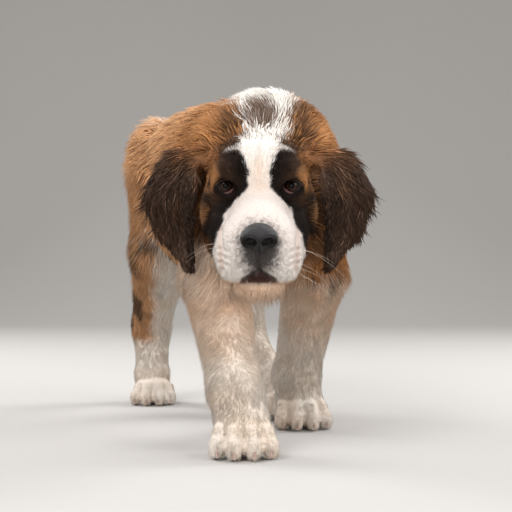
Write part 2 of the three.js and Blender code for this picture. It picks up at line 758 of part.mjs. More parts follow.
const dog = new THREE.Group();
for (const [name, { made, colour }] of nodes) {
  const m = made.getMesh();
  const place = new Float32Array(m.numVert * 3);
  for (let i = 0; i < m.numVert; i++)
    place.set(m.vertProperties.subarray(i * m.numProp, i * m.numProp + 3), i * 3);
  const geometry = new THREE.BufferGeometry()
    .setAttribute("position", new THREE.BufferAttribute(place, 3))
    .setIndex(new THREE.BufferAttribute(m.triVerts, 1));
  geometry.computeVertexNormals();
  const [color, roughness] = colours[colour];
  const mesh = new THREE.Mesh(geometry, new THREE.MeshStandardMaterial({ color, roughness, metalness: 0 }));
  mesh.name = name;
  dog.add(mesh);
}
// The origin is the middle of the model's own box, on the floor.
const box = new THREE.Box3().setFromObject(dog);
const middle = box.getCenter(V(0, 0, 0)).setZ(box.min.z);
for (const mesh of dog.children) mesh.geometry.translate(-middle.x, -middle.y, -middle.z);
export default dog;
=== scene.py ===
"""A Saint Bernard puppy of about eleven weeks, walking with its head low: its skin, coat, eyes and claws.

Shapes are worked out in millimetres in the model's design frame (+Z up, the puppy looks along -Y, the floor is
z = 0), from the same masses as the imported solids, and are put into the shared frame in metres.
"""
import functools

import bmesh
import bpy
import numpy as np
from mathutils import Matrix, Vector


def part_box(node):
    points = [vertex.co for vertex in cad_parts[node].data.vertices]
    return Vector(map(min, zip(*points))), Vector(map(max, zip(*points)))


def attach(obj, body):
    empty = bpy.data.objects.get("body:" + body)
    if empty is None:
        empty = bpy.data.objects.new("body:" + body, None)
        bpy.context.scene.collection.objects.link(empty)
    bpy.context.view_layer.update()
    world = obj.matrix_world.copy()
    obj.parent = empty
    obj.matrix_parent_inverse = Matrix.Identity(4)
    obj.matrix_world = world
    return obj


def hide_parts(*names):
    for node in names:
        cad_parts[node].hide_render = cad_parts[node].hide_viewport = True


bl_info = {
    "name": "Saint Bernard puppy",
    "version": (1, 0, 0),
    "blender": (4, 5, 0),
    "location": "3D View > Sidebar > Puppy",
    "description": "Builds the skin, coat, eyes, nose and claws of a life-size puppy over its packed solids",
    "category": "Object",
}

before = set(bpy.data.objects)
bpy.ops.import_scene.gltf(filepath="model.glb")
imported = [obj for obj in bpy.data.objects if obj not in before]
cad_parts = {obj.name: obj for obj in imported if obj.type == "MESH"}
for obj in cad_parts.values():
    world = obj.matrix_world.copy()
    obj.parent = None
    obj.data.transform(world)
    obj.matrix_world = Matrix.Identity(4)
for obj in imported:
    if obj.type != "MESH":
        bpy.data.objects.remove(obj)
SIDES = {"right": -1, "left": 1}
LEG_NAMES = ("fore_right", "fore_left", "hind_right", "hind_left")


# ---- Places and masses ----
def smooth(low, high, x):
    """0 below low, 1 above high, and a smooth S between them."""
    t = np.clip((x - low) / (high - low), 0, 1)
    return t * t * (3 - 2 * t)


def window(a, b, c, d, x):
    """A smooth step up from a to b, and down again from c to d."""
    return smooth(a, b, x) * smooth(d, c, x)


def bell(x, width):
    """exp(-(x / width)^2): 1 at 0, and next to nothing beyond twice the width."""
    return np.exp(-((x / width) ** 2))


def unit(v):
    """Arrows made 1 long."""
    return v / np.maximum(np.linalg.norm(v, axis=-1, keepdims=True), 1e-9)


def mix(a, b, share):
    """a + (b - a) share, row by row."""
    return a + (b - a) * np.asarray(share)[..., None]


# The body points 21.5 degrees aside and the head 20 degrees down; each base is an origin and its three axes
YAW, PITCH = np.radians(21.5), np.radians(20)
UP = np.array([0, 0, 1.0])
BODY = (np.array([16.0, 0, 0]), np.array([[-np.sin(YAW), np.cos(YAW), 0], [np.cos(YAW), np.sin(YAW), 0], [0, 0, 1]]))
HEAD = (
    np.array([3.0, -105, 273]),
    np.array([[0, -np.cos(PITCH), -np.sin(PITCH)], [1, 0, 0], [0, -np.sin(PITCH), np.cos(PITCH)]]),
)


def place(base, p):
    """The place of p, given along the three axes of a base."""
    return base[0] + np.asarray(p, float) @ base[1]


def within(base, points):
    """Points as measured along the three axes of a base."""
    return (points - base[0]) @ base[1].T


def body(*p):
    """A place on the body: mm back from the chest, to its left, and up."""
    return place(BODY, p)


def head(*p):
    """A place on the head: mm forward, to its left, and up, along the tilted head."""
    return place(HEAD, p)


def blob(base, centre, radii):
    """An ellipsoid's field: k (k - 1) / slope, where k is 1 on its surface, about the distance outside it."""
    c, r = place(base, centre), np.asarray(radii, float)

    def field(p):
        q = ((p - c) @ base[1].T) / r
        k = np.sqrt((q * q).sum(-1))
        return k * (k - 1) / np.maximum(np.sqrt(((q / r) ** 2).sum(-1)), 1e-9)

    return field


def limb(a, b, ra, rb):
    """A tapered capsule's field: the distance to the segment a-b less a radius that runs from ra to rb."""
    span = b - a

    def field(p):
        d = p - a
        t = np.clip(d @ span / (span @ span), 0, 1)
        return np.linalg.norm(d - t[..., None] * span, axis=-1) - (ra + (rb - ra) * t)

    return field


def limbs(joints, radii):
    """Tapered capsules from joint to joint."""
    return [limb(*pair) for pair in zip(joints[:-1], joints[1:], radii[:-1], radii[1:])]


def run_together(values, soft):
    """The smooth least of many fields: -soft ln(sum exp(-value / soft))."""
    values = np.stack(values)
    least = values.min(0)
    return least - soft * np.log(np.exp(-(values - least) / soft).sum(0))


def flesh(masses, soft, low=None, high=None):
    """The smooth union of masses, worked out only inside a box where one is given."""

    def field(p):
        if low is None:
            return run_together([m(p) for m in masses], soft)
        near = ((p > low) & (p < high)).all(-1)
        out = np.full(p.shape[:-1], 600.0)
        if near.any():
            out[near] = run_together([m(p[near]) for m in masses], soft)
        return out

    return field


def blobs(base, *rows):
    """Ellipsoids from centre and radii, six numbers each; one that lies off the middle is made on both sides."""
    made = []
    for a, b, c, *radii in rows:
        made += [blob(base, (a, side * b, c), radii) for side in ((1, -1) if b else (1,))]
    return made


# Masses: each one's middle along its base's axes and its radii, in mm
BARREL = ((112, 0, 268, 128, 90, 116), (30, 0, 242, 48, 72, 90), (184, 0, 266, 120, 86, 88))
WITHERS_LOIN_RUMP = ((44, 0, 344, 62, 50, 44), (190, 0, 324, 120, 74, 64), (288, 0, 314, 78, 76, 74))
HIPS_SHOULDERS = ((276, 46, 330, 64, 40, 58), (34, 62, 266, 46, 30, 82))
trunk = flesh(blobs(BODY, *BARREL, *WITHERS_LOIN_RUMP, *HIPS_SHOULDERS), 7)
neck = flesh(
    [
        limb(body(44, 0, 302), head(-88, 0, -22), 78, 62),
        *blobs(BODY, (2, 0, 331, 58, 78, 55), (-16, 0, 250, 40, 62, 70)),
        limb(head(-64, 0, 2), body(10, 0, 330), 50, 60),
    ],
    8,
)
# The head's fields are worked out inside this box only
HEAD_BOX = (np.array([-110.0, -240, 120]), np.array([116.0, 50, 400]))
BRAIN_CASE = ((-42, 0, 2, 58, 58, 42), (-16, 0, 10, 32, 44, 34), (-88, 0, 8, 24, 30, 24))
CHEEKS_BROWS = ((-36, 38, -34, 42, 25, 36), (-6, 27, 17, 16, 16, 10))
MUZZLE = ((32, 0, -24, 48, 27, 24), (10, 0, -30, 40, 34, 30))
LIPS = ((50, 20, -50, 34, 23, 35), (36, 30, -62, 34, 15, 25), (4, 36, -50, 36, 20, 28))
JAW = ((42, 0, -87, 30, 26, 14), (8, 0, -82, 44, 34, 18), (-34, 0, -72, 34, 42, 22))
skull = flesh(blobs(HEAD, *BRAIN_CASE, *CHEEKS_BROWS, *MUZZLE, *LIPS), 4.5, *HEAD_BOX)
jaw = flesh(blobs(HEAD, *JAW), 5, *HEAD_BOX)
TAIL = [body(340, 0, 330), body(384, 2, 292), body(412, 6, 230), body(416, 9, 160), body(406, 12, 104)]
tail = flesh(limbs(TAIL, (24, 21, 18, 15, 9)), 5, np.array([-220.0, 250, 60]), np.array([0.0, 480, 400]))


def leg_of(joints, radii, paw, toes, share):
    """A leg's flesh and its paw's: a limb down the joints, and four toes with knuckles in a fan."""
    joints = [np.asarray(j, float) for j in joints]
    forward = unit(np.array([toes, -1.0, 0]))
    base = (np.array([*paw, 0.0]), np.array([forward, [-forward[1], forward[0], 0], [0, 0, 1]]))
    s = share
    parts = limbs(joints, radii)
    masses = [parts[-1], blob(base, (0, 0, 22 * s), (32 * s, 29 * s, 22 * s))]
    masses.append(blob(base, (-4 * s, 0, 9 * s), (19 * s, 19 * s, 11.5 * s)))
    for reach, across in toe_places(s):
        masses.append(blob(base, (reach - 11 * s, across * 0.86, 20 * s), (16 * s, 10 * s, 16.5 * s)))
        masses.append(blob(base, (reach, across, 11.5 * s), (12.5 * s, 10 * s, 14 * s)))
    field = flesh(parts, 7, np.min(joints, 0) - 75, np.max(joints, 0) + 75)
    foot = flesh(masses, 2.6, np.array([paw[0] - 75, paw[1] - 75, -20.0]), np.array([paw[0] + 75, paw[1] + 75, 80.0]))
    return {"joints": joints, "field": field, "foot": foot, "base": base, "share": s}


def toe_places(s):
    """How far each toe's tip lies in front of the paw's middle and beside it."""
    return [(22 * s, -27 * s), (32 * s, -10 * s), (32 * s, 10 * s), (22 * s, 27 * s)]


# The radii at a leg's joints, from the top down
FORE, HIND = (44, 50, 41, 28, 29), (60, 46, 27, 25)
LEGS = {
    "fore_right": leg_of(
        [body(26, -50, 322), body(2, -52, 250), (-46, -26, 188), (-22, -106, 66), (-14, -121, 30)],
        FORE, (-13, -124), 0.04, 1,
    ),
    "fore_left": leg_of(
        [body(26, 50, 322), body(6, 52, 250), (68, 38, 190), (48, 84, 62), (52, 88, 30)], FORE, (53, 84), 0.12, 0.97
    ),
    "hind_right": leg_of(
        [body(278, -36, 302), body(266, -47, 214), (-147, 346, 106), (-145, 332, 30)], HIND, (-141, 318), 0, 0.88
    ),
    "hind_left": leg_of(
        [body(278, 36, 302), body(234, 46, 208), (-14, 246, 96), (26, 184, 34)], HIND, (34, 164), 0.1, 0.88
    ),
}

# Where a paw's own coat ends, how far each eye lies from the middle, and the ball that holds the bare nose
PAW_TOP = 44
EYE_ACROSS = 34.5
NOSE_MIDDLE, NOSE_BARE = head(82, 0, -28), 14.5
# How many mm of coat the solids hold over the skin; "upper" and "lower" are the legs' thick and thin ends
DEPTH = {"trunk": 17, "neck": 19, "tail": 11, "upper": 13, "lower": 5, "paw": 2.4, "face": 2.2, "skull": 7}


def leg_skin(leg, p):
    """A leg's skin: its outline less a coat that thins from the elbow down, with the paw's own form below."""
    down = smooth(60, 42, p[..., 2])
    outline = leg["field"](p) * (1 - down) + leg["foot"](p) * down
    coat = DEPTH["lower"] + (DEPTH["upper"] - DEPTH["lower"]) * smooth(125, 215, p[..., 2])
    reach, across, up = np.moveaxis(within(leg["base"], p) / leg["share"], -1, 0)
    cleft = sum(bell(across - c, 1.9) for c in (-18.5, 0, 18.5))
    cleft = 2.0 * cleft * smooth(4, 16, reach) * smooth(34, 24, up)
    return outline + coat + (DEPTH["paw"] - DEPTH["lower"]) * down + cleft


def head_skin(p):
    """The head's skin: the skull and jaw run together, cut in along the line where they meet."""
    f = within(HEAD, p)[..., 0]
    coat = DEPTH["face"] + (DEPTH["skull"] - DEPTH["face"]) * smooth(-5, -55, f)
    a, b = skull(p), jaw(p)
    return run_together([a + coat, b + coat + 1], 1.6) + 3.0 * bell(a - b, 3.2) * smooth(-35, -5, f)


def trunk_skin(p):
    """The trunk's skin: its outline less its coat, which is thinner on top of the loin."""
    a = within(BODY, p)[..., 0]
    loin = window(50, 110, 205, 262, a) * smooth(300, 335, p[..., 2])
    return trunk(p) + DEPTH["trunk"] - 9 * loin


def skin_field(p):
    """The whole skin: head, neck, trunk, tail and legs, each less its coat, run together."""
    parts = [trunk_skin(p), neck(p) + DEPTH["neck"], tail(p) + DEPTH["tail"]]
    parts += [leg_skin(leg, p) for leg in LEGS.values()]
    return run_together([run_together(parts, 6), head_skin(p)], 2.2)


def slope(field, p):
    """The field at each point and its outward direction, by differences of half a millimetre."""
    at = field(p)
    steps = [field(p + e) - at for e in np.eye(3) * 0.5]
    return at, np.stack(steps, -1) / 0.5


def settle(p, field, rounds, hold=None):
    """Points moved onto the field's surface: each round takes off field / slope along the slope, 3 mm at most."""
    for _ in range(rounds):
        at, g = slope(field, p)
        move = np.clip(at / np.maximum((g * g).sum(-1), 0.25), -3, 3)[..., None] * g
        p = p - (move if hold is None else move * (1 - hold)[..., None])
    return p


def noise(p, size, seed):
    """Smooth random values from -1 to 1, from one draw at each corner of a lattice of cells of this size."""
    q = p / size + 31.7 * seed
    cell = np.floor(q).astype(np.int64)
    f = q - cell
    f = f * f * (3 - 2 * f)
    total = np.zeros(p.shape[:-1])
    for corner in np.ndindex(2, 2, 2):
        c = cell + corner
        h = (c[..., 0] * 73856093) ^ (c[..., 1] * 19349663) ^ (c[..., 2] * 83492791) ^ (seed * 2654435)
        h = (h ^ (h >> 13)) * 1274126177 & 0x7FFFFFFF
        h = (h ^ (h >> 16)) & 0xFFFF
        share = np.prod(np.where(np.array(corner) == 1, f, 1 - f), axis=-1)
        total += share * (h / 32767.5 - 1)
    return total


def noise3(p, size, seed):
    """Noise in each of the three directions."""
    return np.stack([noise(p, size, seed + k) for k in range(3)], -1)


def streaks(p, drawn, size, seed):
    """Noise drawn out upwards: its heights count for the share drawn."""
    return noise(p * np.array([1, 1, drawn]), size, seed)


# ---- Surfaces ----
def along(path, t):
    """A polyline with rounded corners: places and directions at shares t of its length."""
    path = np.asarray(path)
    length = np.r_[0, np.cumsum(np.linalg.norm(np.diff(path, axis=0), axis=1))]
    fine = np.linspace(0, length[-1], 200)
    line = np.stack([np.interp(fine, length, path[:, k]) for k in range(3)], -1)
    for _ in range(60):
        line[1:-1] = (line[:-2] + line[2:]) / 2
    x = np.asarray(t) * 199
    spot = np.stack([np.interp(x, np.arange(200), line[:, k]) for k in range(3)], -1)
    way = np.stack([np.interp(x, np.arange(200), np.gradient(line[:, k])) for k in range(3)], -1)
    return spot, unit(way)


def grid_faces(rows, cols):
    """Quads of a closed tube of rows of points, and triangles to the two poles that follow them."""
    i, j = np.meshgrid(np.arange(rows - 1), np.arange(cols), indexing="ij")
    k = (j + 1) % cols
    quads = np.stack([i * cols + j, i * cols + k, (i + 1) * cols + k, (i + 1) * cols + j], -1).reshape(-1, 4)
    j = np.arange(cols)
    k = (j + 1) % cols
    start = np.stack([np.full(cols, rows * cols), k, j], -1)
    end = np.stack([np.full(cols, rows * cols + 1), (rows - 1) * cols + j, (rows - 1) * cols + k], -1)
    return quads, np.concatenate([start, end])


def solid(points, rows, cols):
    """Outward triangles over a closed tube of points and its two poles."""
    quads, ends = grid_faces(rows, cols)
    return outward(points, np.concatenate([halves(quads), ends]))


def halves(quads):
    """Quads as triangles."""
    return np.concatenate([quads[:, [0, 1, 2]], quads[:, [0, 2, 3]]])


def outward(points, faces):
    """Faces turned about where their tetrahedra with the middle sum to a negative volume."""
    a, b, c = (points[faces[:, k]] - points.mean(0) for k in range(3))
    return faces[:, ::-1] if np.einsum("ij,ij->i", a, np.cross(b, c)).sum() < 0 else faces


def joined(parts):
    """Several shapes as one: their points, and their faces counted on."""
    starts = np.cumsum([0] + [len(points) for points, _ in parts])
    faces = [made + start for (_, made), start in zip(parts, starts)]
    return np.concatenate([points for points, _ in parts]), np.concatenate(faces)


def round_grid(first, last, rows, cols):
    """Flat arrays over a grid: a value that runs from first to last, and a turn from 0 to 2 pi."""
    turn = np.linspace(0, 2 * np.pi, cols, endpoint=False)
    t, a = np.meshgrid(np.linspace(first, last, rows), turn, indexing="ij")
    return t.ravel(), a.ravel()


def sphere_grid(edge, rows, cols):
    """An angle from one pole to the other and a turn round them, with the two poles last."""
    t, a = round_grid(edge, np.pi - edge, rows, cols)
    return np.r_[t, 0, np.pi], np.r_[a, 0, 0]


def sleeve(path, up, rings, sides, field):
    """Rays leave a path, square to it and fanned over its ends, until the field is level: a closed tube."""
    fan = np.linspace(0, np.pi / 2, 6)[1:-1]
    t = np.r_[np.zeros(4), np.linspace(0, 1, rings), np.ones(4)]
    lean = np.r_[-fan[::-1], np.zeros(rings), fan]
    spot, way = along(path, t)
    side = unit(np.cross(way, up))
    top = np.cross(side, way)
    a = np.linspace(0, 2 * np.pi, sides, endpoint=False)[None, :, None]
    ray = side[:, None] * np.cos(a) + top[:, None] * np.sin(a)
    ray = ray * np.cos(lean)[:, None, None] + way[:, None] * np.sin(lean)[:, None, None]
    start = np.concatenate([np.repeat(spot[:, None], sides, 1).reshape(-1, 3), spot[:1], spot[-1:]])
    ray = np.concatenate([ray.reshape(-1, 3), -way[:1], way[-1:]])
    r = np.zeros(len(ray))
    for _ in range(30):
        r = np.maximum(0, r - field(start + ray * r[:, None]))
    return start + ray * r[:, None], grid_faces(len(t), sides)


# Half an ear's width at equal steps from its root to its tip
EAR_WIDTHS = (12, 27, 34, 31, 20, 9)


def ear_frame(side, t):
    """The ear's middle line at shares t of its length, with its ways along, out of its face, and across."""
    path = [head(-46, side * 50, 24), head(-44, side * 76, 16), head(-34, side * 92, -12)]
    path += [head(-22, side * 92, -44), head(-8, side * 82, -72), head(0, side * 75, -92)]
    spot, way = along(path, np.clip(t, 0, 1))
    out = unit(np.cross(way, unit(np.array([side * 0.86, 0.5, 0]))))
    out = out * -np.sign(out[..., 1:2])
    return spot, way, out, unit(np.cross(out, way))


def ear_sheet(side, t, x):
    """The middle of an ear's leather: a cupped sheet, with its front edge rolled. x runs across it, -1 to 1."""
    spot, way, out, wide = ear_frame(side, t)
    w = np.interp(t, np.linspace(0, 1, 6), EAR_WIDTHS) - 3
    toward = np.where((wide @ np.array([1.0, 0, 0])) * side < 0, 1.0, -1.0)
    inner = x * toward
    hug = smooth(0.1, 1, inner) * window(0.05, 0.3, 0.7, 1.0, t)
    cup = 9 * (1 - x * x) * np.sin(np.pi * np.minimum(1, t + 0.15)) - 4
    roll = 4.5 * bell(inner - 0.78, 0.2) * smooth(0.05, 0.3, t)
    fold = -3.0 * bell(inner - 0.38, 0.14) * smooth(0.15, 0.4, t)
    sheet = spot + wide * (w * x + 7 * toward * hug)[..., None] + out * (cup + roll + fold + 7 * hug)[..., None]
    return sheet, way, out, wide, inner


def ear_surface(side):
    """An ear's skin: the sheet, thickened by an oval section, closed at both ends."""
    rows, cols = 44, 40
    t, a = round_grid(0, 0.985, rows, cols)
    mid, _, out, _, _ = ear_sheet(side, t, np.cos(a))
    points = mid + out * (np.interp(t, [0, 1], [6.0, 2.6]) * np.sin(a))[:, None]
    ends = ear_sheet(side, np.array([0.0, 1.0]), np.zeros(2))[0]
    return np.concatenate([points, ends]), grid_faces(rows, cols)


def ear_near(side, p):
    """For each point: how far it is from an ear's sheet, and the sheet's t, x, ways and front share there."""
    t, x = np.meshgrid(np.linspace(0, 1, 48), np.linspace(-1, 1, 21), indexing="ij")
    mid, way, out, wide, inner = ear_sheet(side, t.ravel(), x.ravel())
    low, high = mid.min(0) - 22, mid.max(0) + 22
    apart = np.full(len(p), 99.0)
    pick = np.zeros(len(p), int)
    ids = np.flatnonzero(((p > low) & (p < high)).all(-1))
    for part in np.array_split(ids, max(1, len(ids) // 4000)):
        d = ((p[part][:, None] - mid[None]) ** 2).sum(-1)
        pick[part] = d.argmin(1)
        apart[part] = np.sqrt(d.min(1))
    return apart, t.ravel()[pick], x.ravel()[pick], way[pick], out[pick], wide[pick], inner[pick], mid[pick]


# ---- Markings ----
# Among these, the orange of white fur in shade is painted warm bounce light.
COLOURS = {
    "white": (0.87, 0.825, 0.775), "cream": (0.84, 0.66, 0.50), "painted_bounce": (0.78, 0.52, 0.34),
    "tan": (0.48, 0.225, 0.088), "rust": (0.36, 0.15, 0.055), "grey_tan": (0.66, 0.37, 0.19),
    "brown": (0.13, 0.066, 0.035), "charcoal": (0.070, 0.043, 0.031), "black": (0.008, 0.0048, 0.0038),
    "skin_pink": (0.55, 0.33, 0.27), "pad": (0.03, 0.024, 0.024), "ring_edge": (0.11, 0.088, 0.085),
    "ring": (0.035, 0.028, 0.028), "lip": (0.028, 0.016, 0.014), "mouth": (0.085, 0.030, 0.022),
    "pupil": (0.002, 0.0015, 0.0015), "iris_rim": (0.004, 0.003, 0.003), "eye_white": (0.022, 0.015, 0.013),
    "haw": (0.34, 0.18, 0.17), "lid_grey": (0.075, 0.058, 0.055), "lid_pink": (0.24, 0.12, 0.11),
    "lid_shade": (0.016, 0.012, 0.012), "nose_wet": (0.008, 0.0062, 0.006), "nose_dry": (0.026, 0.024, 0.025),
    "nostril_shade": (0.004, 0.0015, 0.0012), "claw_tip": (0.30, 0.14, 0.11), "claw_root": (0.10, 0.05, 0.045),
}
# How much each mm of a fold darkens red, green and blue
FOLD_SHADE = np.array([0.05, 0.075, 0.085])


def over(c, *layers, table=COLOURS):
    """A row of numbers, or the named one, with other named rows mixed over it in turn, each by its share."""
    c = np.array(table[c], float) if isinstance(c, str) else c
    for name, share in layers:
        c = mix(c, np.array(table[name], float), share)
    return c


def parts_at(p):
    """Each part's own field at every point, as columns: trunk, neck, head, tail and the four legs."""
    both_head = np.minimum(skull(p), jaw(p))
    legs = [np.where(p[:, 2] < 52, leg["foot"](p), leg["field"](p)) for leg in LEGS.values()]
    return np.stack([trunk(p), neck(p), both_head, tail(p), *legs], -1)


# The blaze's half width at each height from the head's middle
BLAZE = (
    (-66, -50, -36, -22, -11, 1, 10, 22, 38, 72, 95),
    (48, 42, 36.5, 32.5, 20, 10.5, 10.5, 13, 18.5, 23, 26),
)


def face_colour(p):
    """The head's markings: a white blaze and muzzle, black round the eyes, tan spots over and under them; with
    painted bounce light under the chin, the mouth's opening painted dark, and painted shade in the folds.
    """
    f, l, u = within(HEAD, p).T
    middle, level = np.abs(l), p[:, 2] - HEAD[0][2]
    l = l + 1.8 * noise(p, 7, 3) + 0.6 * noise(p, 2.6, 6)
    h = level + 2.2 * noise(p, 8, 5) + 0.8 * noise(p, 3, 8)
    away = np.abs(l)
    edge = away - np.interp(h, *BLAZE)

    def spot(x, z, rx, rz, lean=0.0):
        """1 inside a leaning ellipse on each side of the face, and 0 outside it."""
        dx, dz = away - x, h - z
        return smooth(1.6, 0.4, np.hypot((dx + lean * dz) / rx, (dz - lean * dx) / rz))

    c = over("black", ("brown", 0.3 * smooth(4, 30, edge)))
    c = mix(c, over("brown", ("rust", smooth(14, 30, edge))), smooth(30, 62, h))
    front = smooth(-62, -40, f)
    arc = bell(h - 41 + 0.012 * (away - 20) ** 2, 1.9) * window(14, 20, 34, 40, away)
    white = smooth(1.6, -1.6, edge)
    c = over(
        c,
        ("tan", spot(51, 9, 9, 14, 0.5) * front),
        ("tan", spot(58, -25, 5, 9) * 0.85 * front),
        ("rust", spot(62, -62, 10, 13) * 0.8),
        ("rust", spot(56, 32, 13, 12) * 0.7),
        ("white", 0.75 * arc * smooth(-40, -20, f)),
        ("white", np.maximum(white, smooth(-62, -74, u) * smooth(70, 52, away))),
        ("cream", 0.5 * bell(l, 9) * window(-14, 2, 16, 36, h) * white),
        # the orange under the chin is painted bounce light
        ("painted_bounce", 0.8 * smooth(-74, -84, u) * smooth(-10, 20, f)),
    )
    ring = np.hypot(middle / np.where(level < -62, 22.0, 24.0), (level + 64) / 28)
    speck = smooth(1.3, 0.62, ring + 0.28 * noise(p, 1.7, 9)) * smooth(46, 56, f)
    c = mix(c, over("ring_edge", ("ring", smooth(0.95, 0.55, ring))), 0.93 * speck)
    under_arch = -83.5 - 0.55 * np.maximum(0, middle - 1.0) - level
    lip_line = bell(skull(p) - jaw(p), 2.0) * smooth(-18, 0, f) * smooth(-60, -68, u)
    # The mouth's opening is only painted: a dark red-brown that stands for its inside in shade, under black lips.
    mouth = smooth(-1, 1, under_arch) * smooth(-99, -97, level) * smooth(20, 16, middle) * smooth(44, 52, f)
    c = mix(c, over("lip", ("mouth", smooth(1.5, 5, under_arch))), 0.93 * np.maximum(lip_line, mouth))
    return c * (1 - FOLD_SHADE * (np.minimum(4, face_folds(p)) * smooth(-40, -20, f))[:, None])


def body_colour(p, near):
    """The body's markings: a tan cape with dark streaks, and white chest, belly, legs, collar and tail tip; with
    painted shadow of the ears on the neck and painted warm bounce light on the white coat.
    """
    a, b, _ = within(BODY, p).T
    x, _, z = p.T
    left, hind = b >= 0, a > 190
    wob, fine = noise(p, 16, 11), streaks(p, 0.45, 6, 14)
    temple = smooth(52, 36, np.abs(x - 9) + 6 * wob) * smooth(382, 356, z)
    # Beside and behind the ears the neck is browned as painted shadow of the ears; the temples' dark is their own
    # colour.
    behind = smooth(32, 44, np.abs(x - 3)) * smooth(320, 300, z)
    temple_and_ear_shadow = np.maximum(temple, behind) * smooth(10, -10, a) * smooth(205, 225, z)
    patches = smooth(-0.15, 0.35, noise(p, 20, 23) + 0.2 * wob) * hind * smooth(250, 215, z)
    c = over(
        "tan",
        ("grey_tan", smooth(60, 190, a + 20 * wob)),
        ("rust", 0.55 * smooth(0.1, 0.7, noise(p, 22, 17)) * smooth(120, 40, a)),
        ("brown", smooth(0.28, 0.75, fine + 0.35 * wob) * (0.5 + 0.25 * smooth(330, 380, z))),
        ("brown", 0.95 * temple_and_ear_shadow * smooth(-0.8, -0.1, fine)),
        ("charcoal", 0.85 * patches),
    )
    legs = near[:, 4:8].min(1) < near[:, :2].min(1) + 4
    outer = (x - np.where(left, 36.0, -133 - 0.1 * (200 - z))) * np.where(left, 1.0, -1.0)
    fore_white = smooth(10, -10, z - np.where(left, 186.0, 226.0) - 16 * wob) * ~hind
    hind_white = smooth(8, -8, outer + 4 + 9 * wob) * smooth(245, 225, z)
    hind_white = np.maximum(hind_white, smooth(96, 80, z + 8 * wob)) * hind
    belly = smooth(8, -8, z - 186 - 12 * wob)
    bib = smooth(38, 20, a + 8 * wob) * smooth(64, 48, np.abs(b) + 8 * wob) * smooth(214, 190, z)
    collar_wide = np.interp(z, [330, 350, 372, 392], [19, 21, 28, 38])
    collar = smooth(5, -5, np.abs(x - 9) - collar_wide - 4 * wob) * smooth(60, 30, a) * smooth(316, 326, z)
    tip = smooth(215, 190, z + 12 * wob) * (near[:, 3] < 12)
    pale = bell(np.hypot((x + 121) / 13, (z - 384) / 12), 1)
    streak = smooth(0.35, 0.7, streaks(p, 0.3, 7, 29)) * window(200, 215, 240, 262, z) * hind
    white = np.where(legs, np.maximum(fore_white, hind_white), np.maximum(belly, bib))
    white = np.maximum.reduce([white, collar, tip, 0.8 * pale, 0.7 * streak])
    # The white coat's cream tint below the shoulders, and its orange where chest and inner legs lie in shade, are
    # painted warm bounce light.
    shade = window(70, 150, 230, 262, z) * smooth(60, 20, a)
    cream_bounce = (0.4 + 0.25 * noise(p, 26, 31)) * smooth(300, 230, z)
    snow = over("white", ("cream", cream_bounce), ("painted_bounce", (0.6 + 0.25 * wob) * shade))
    crown = np.hypot((x - 7 + 3 * fine) / 14, (z - 352 + 3 * wob) / 14)
    crown = smooth(1.3, 0.8, crown) * smooth(70, 40, a) * smooth(-0.9, -0.2, fine)
    elbow = bell(z - 178, 16) * smooth(0.0, 0.5, streaks(p, 0.4, 7, 37)) * smooth(36, 52, np.abs(b)) * ~hind
    return over(mix(c, snow, white), ("brown", 0.9 * crown), ("charcoal", 0.75 * elbow))


def ear_colour(p, t, inner):
    """An ear's markings: charcoal, browner at its root and along its outer locks."""
    return over(
        "charcoal",
        ("brown", 0.55 * smooth(0.1, 0.8, streaks(p, 0.35, 8, 41))),
        ("rust", 0.6 * smooth(0.22, 0.02, t)),
        ("black", 0.6 * smooth(0.25, 0.6, inner) * smooth(0.2, 0.5, t)),
    )


def survey(p):
    """What lies at each point: the parts' fields, the nearer ear, and a share for head and for ear."""
    near = parts_at(p)
    ears = [ear_near(side, p) for side in SIDES.values()]
    pick = ears[1][0] < ears[0][0]
    ear = [np.where(pick if v.ndim == 1 else pick[:, None], w, v) for v, w in zip(*ears)]
    is_ear = (ear[0] < 8.5) & (near[:, 2] > -4.5)
    others = np.minimum(near[:, :2].min(1), near[:, 4:].min(1))
    head_share = smooth(6, -6, near[:, 2] - others - 4)
    return near, ear, is_ear, head_share


def markings(p, seen):
    """The colour of the coat at each point, the same for skin and tufts: its markings with their painted shade and
    painted bounce light.
    """
    near, ear, is_ear, head_share = seen
    c = mix(body_colour(p, near), face_colour(p), head_share)
    return np.where(is_ear[:, None], ear_colour(p, ear[1], ear[6]), c)


# ---- Meshes and materials ----
EYE_PLACE = {side: head(-8.5, s * 34, -1) for side, s in SIDES.items()}
SHIFT = EYE_PLACE["left"] - np.mean([list(v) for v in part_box("eye_left")], axis=0) * 1000


def mesh_of(name, points, face_sets, colours=None, uv=None):
    """A mesh object from arrays: points in design millimetres, and faces of three or four corners each."""
    mesh = bpy.data.meshes.new(name)
    points = (np.asarray(points) - SHIFT) / 1000
    face_sets = [np.asarray(f) for f in face_sets if len(f)]
    corners = np.concatenate([f.ravel() for f in face_sets])
    sizes = np.concatenate([np.full(len(f), f.shape[1]) for f in face_sets])
    mesh.vertices.add(len(points))
    mesh.vertices.foreach_set("co", points.astype(np.float32).ravel())
    mesh.loops.add(len(corners))
    mesh.loops.foreach_set("vertex_index", corners.astype(np.int32))
    mesh.polygons.add(len(sizes))
    mesh.polygons.foreach_set("loop_start", np.r_[0, np.cumsum(sizes)[:-1]].astype(np.int32))
    mesh.polygons.foreach_set("use_smooth", np.ones(len(sizes), bool))
    mesh.update(calc_edges=True)
    if colours is not None:
        paint(mesh, colours)
    if uv is not None:
        layer = mesh.uv_layers.new(name="OFBake")
        layer.data.foreach_set("uv", uv[corners].astype(np.float32).ravel())
    obj = bpy.data.objects.new(name, mesh)
    bpy.context.scene.collection.objects.link(obj)
    return obj


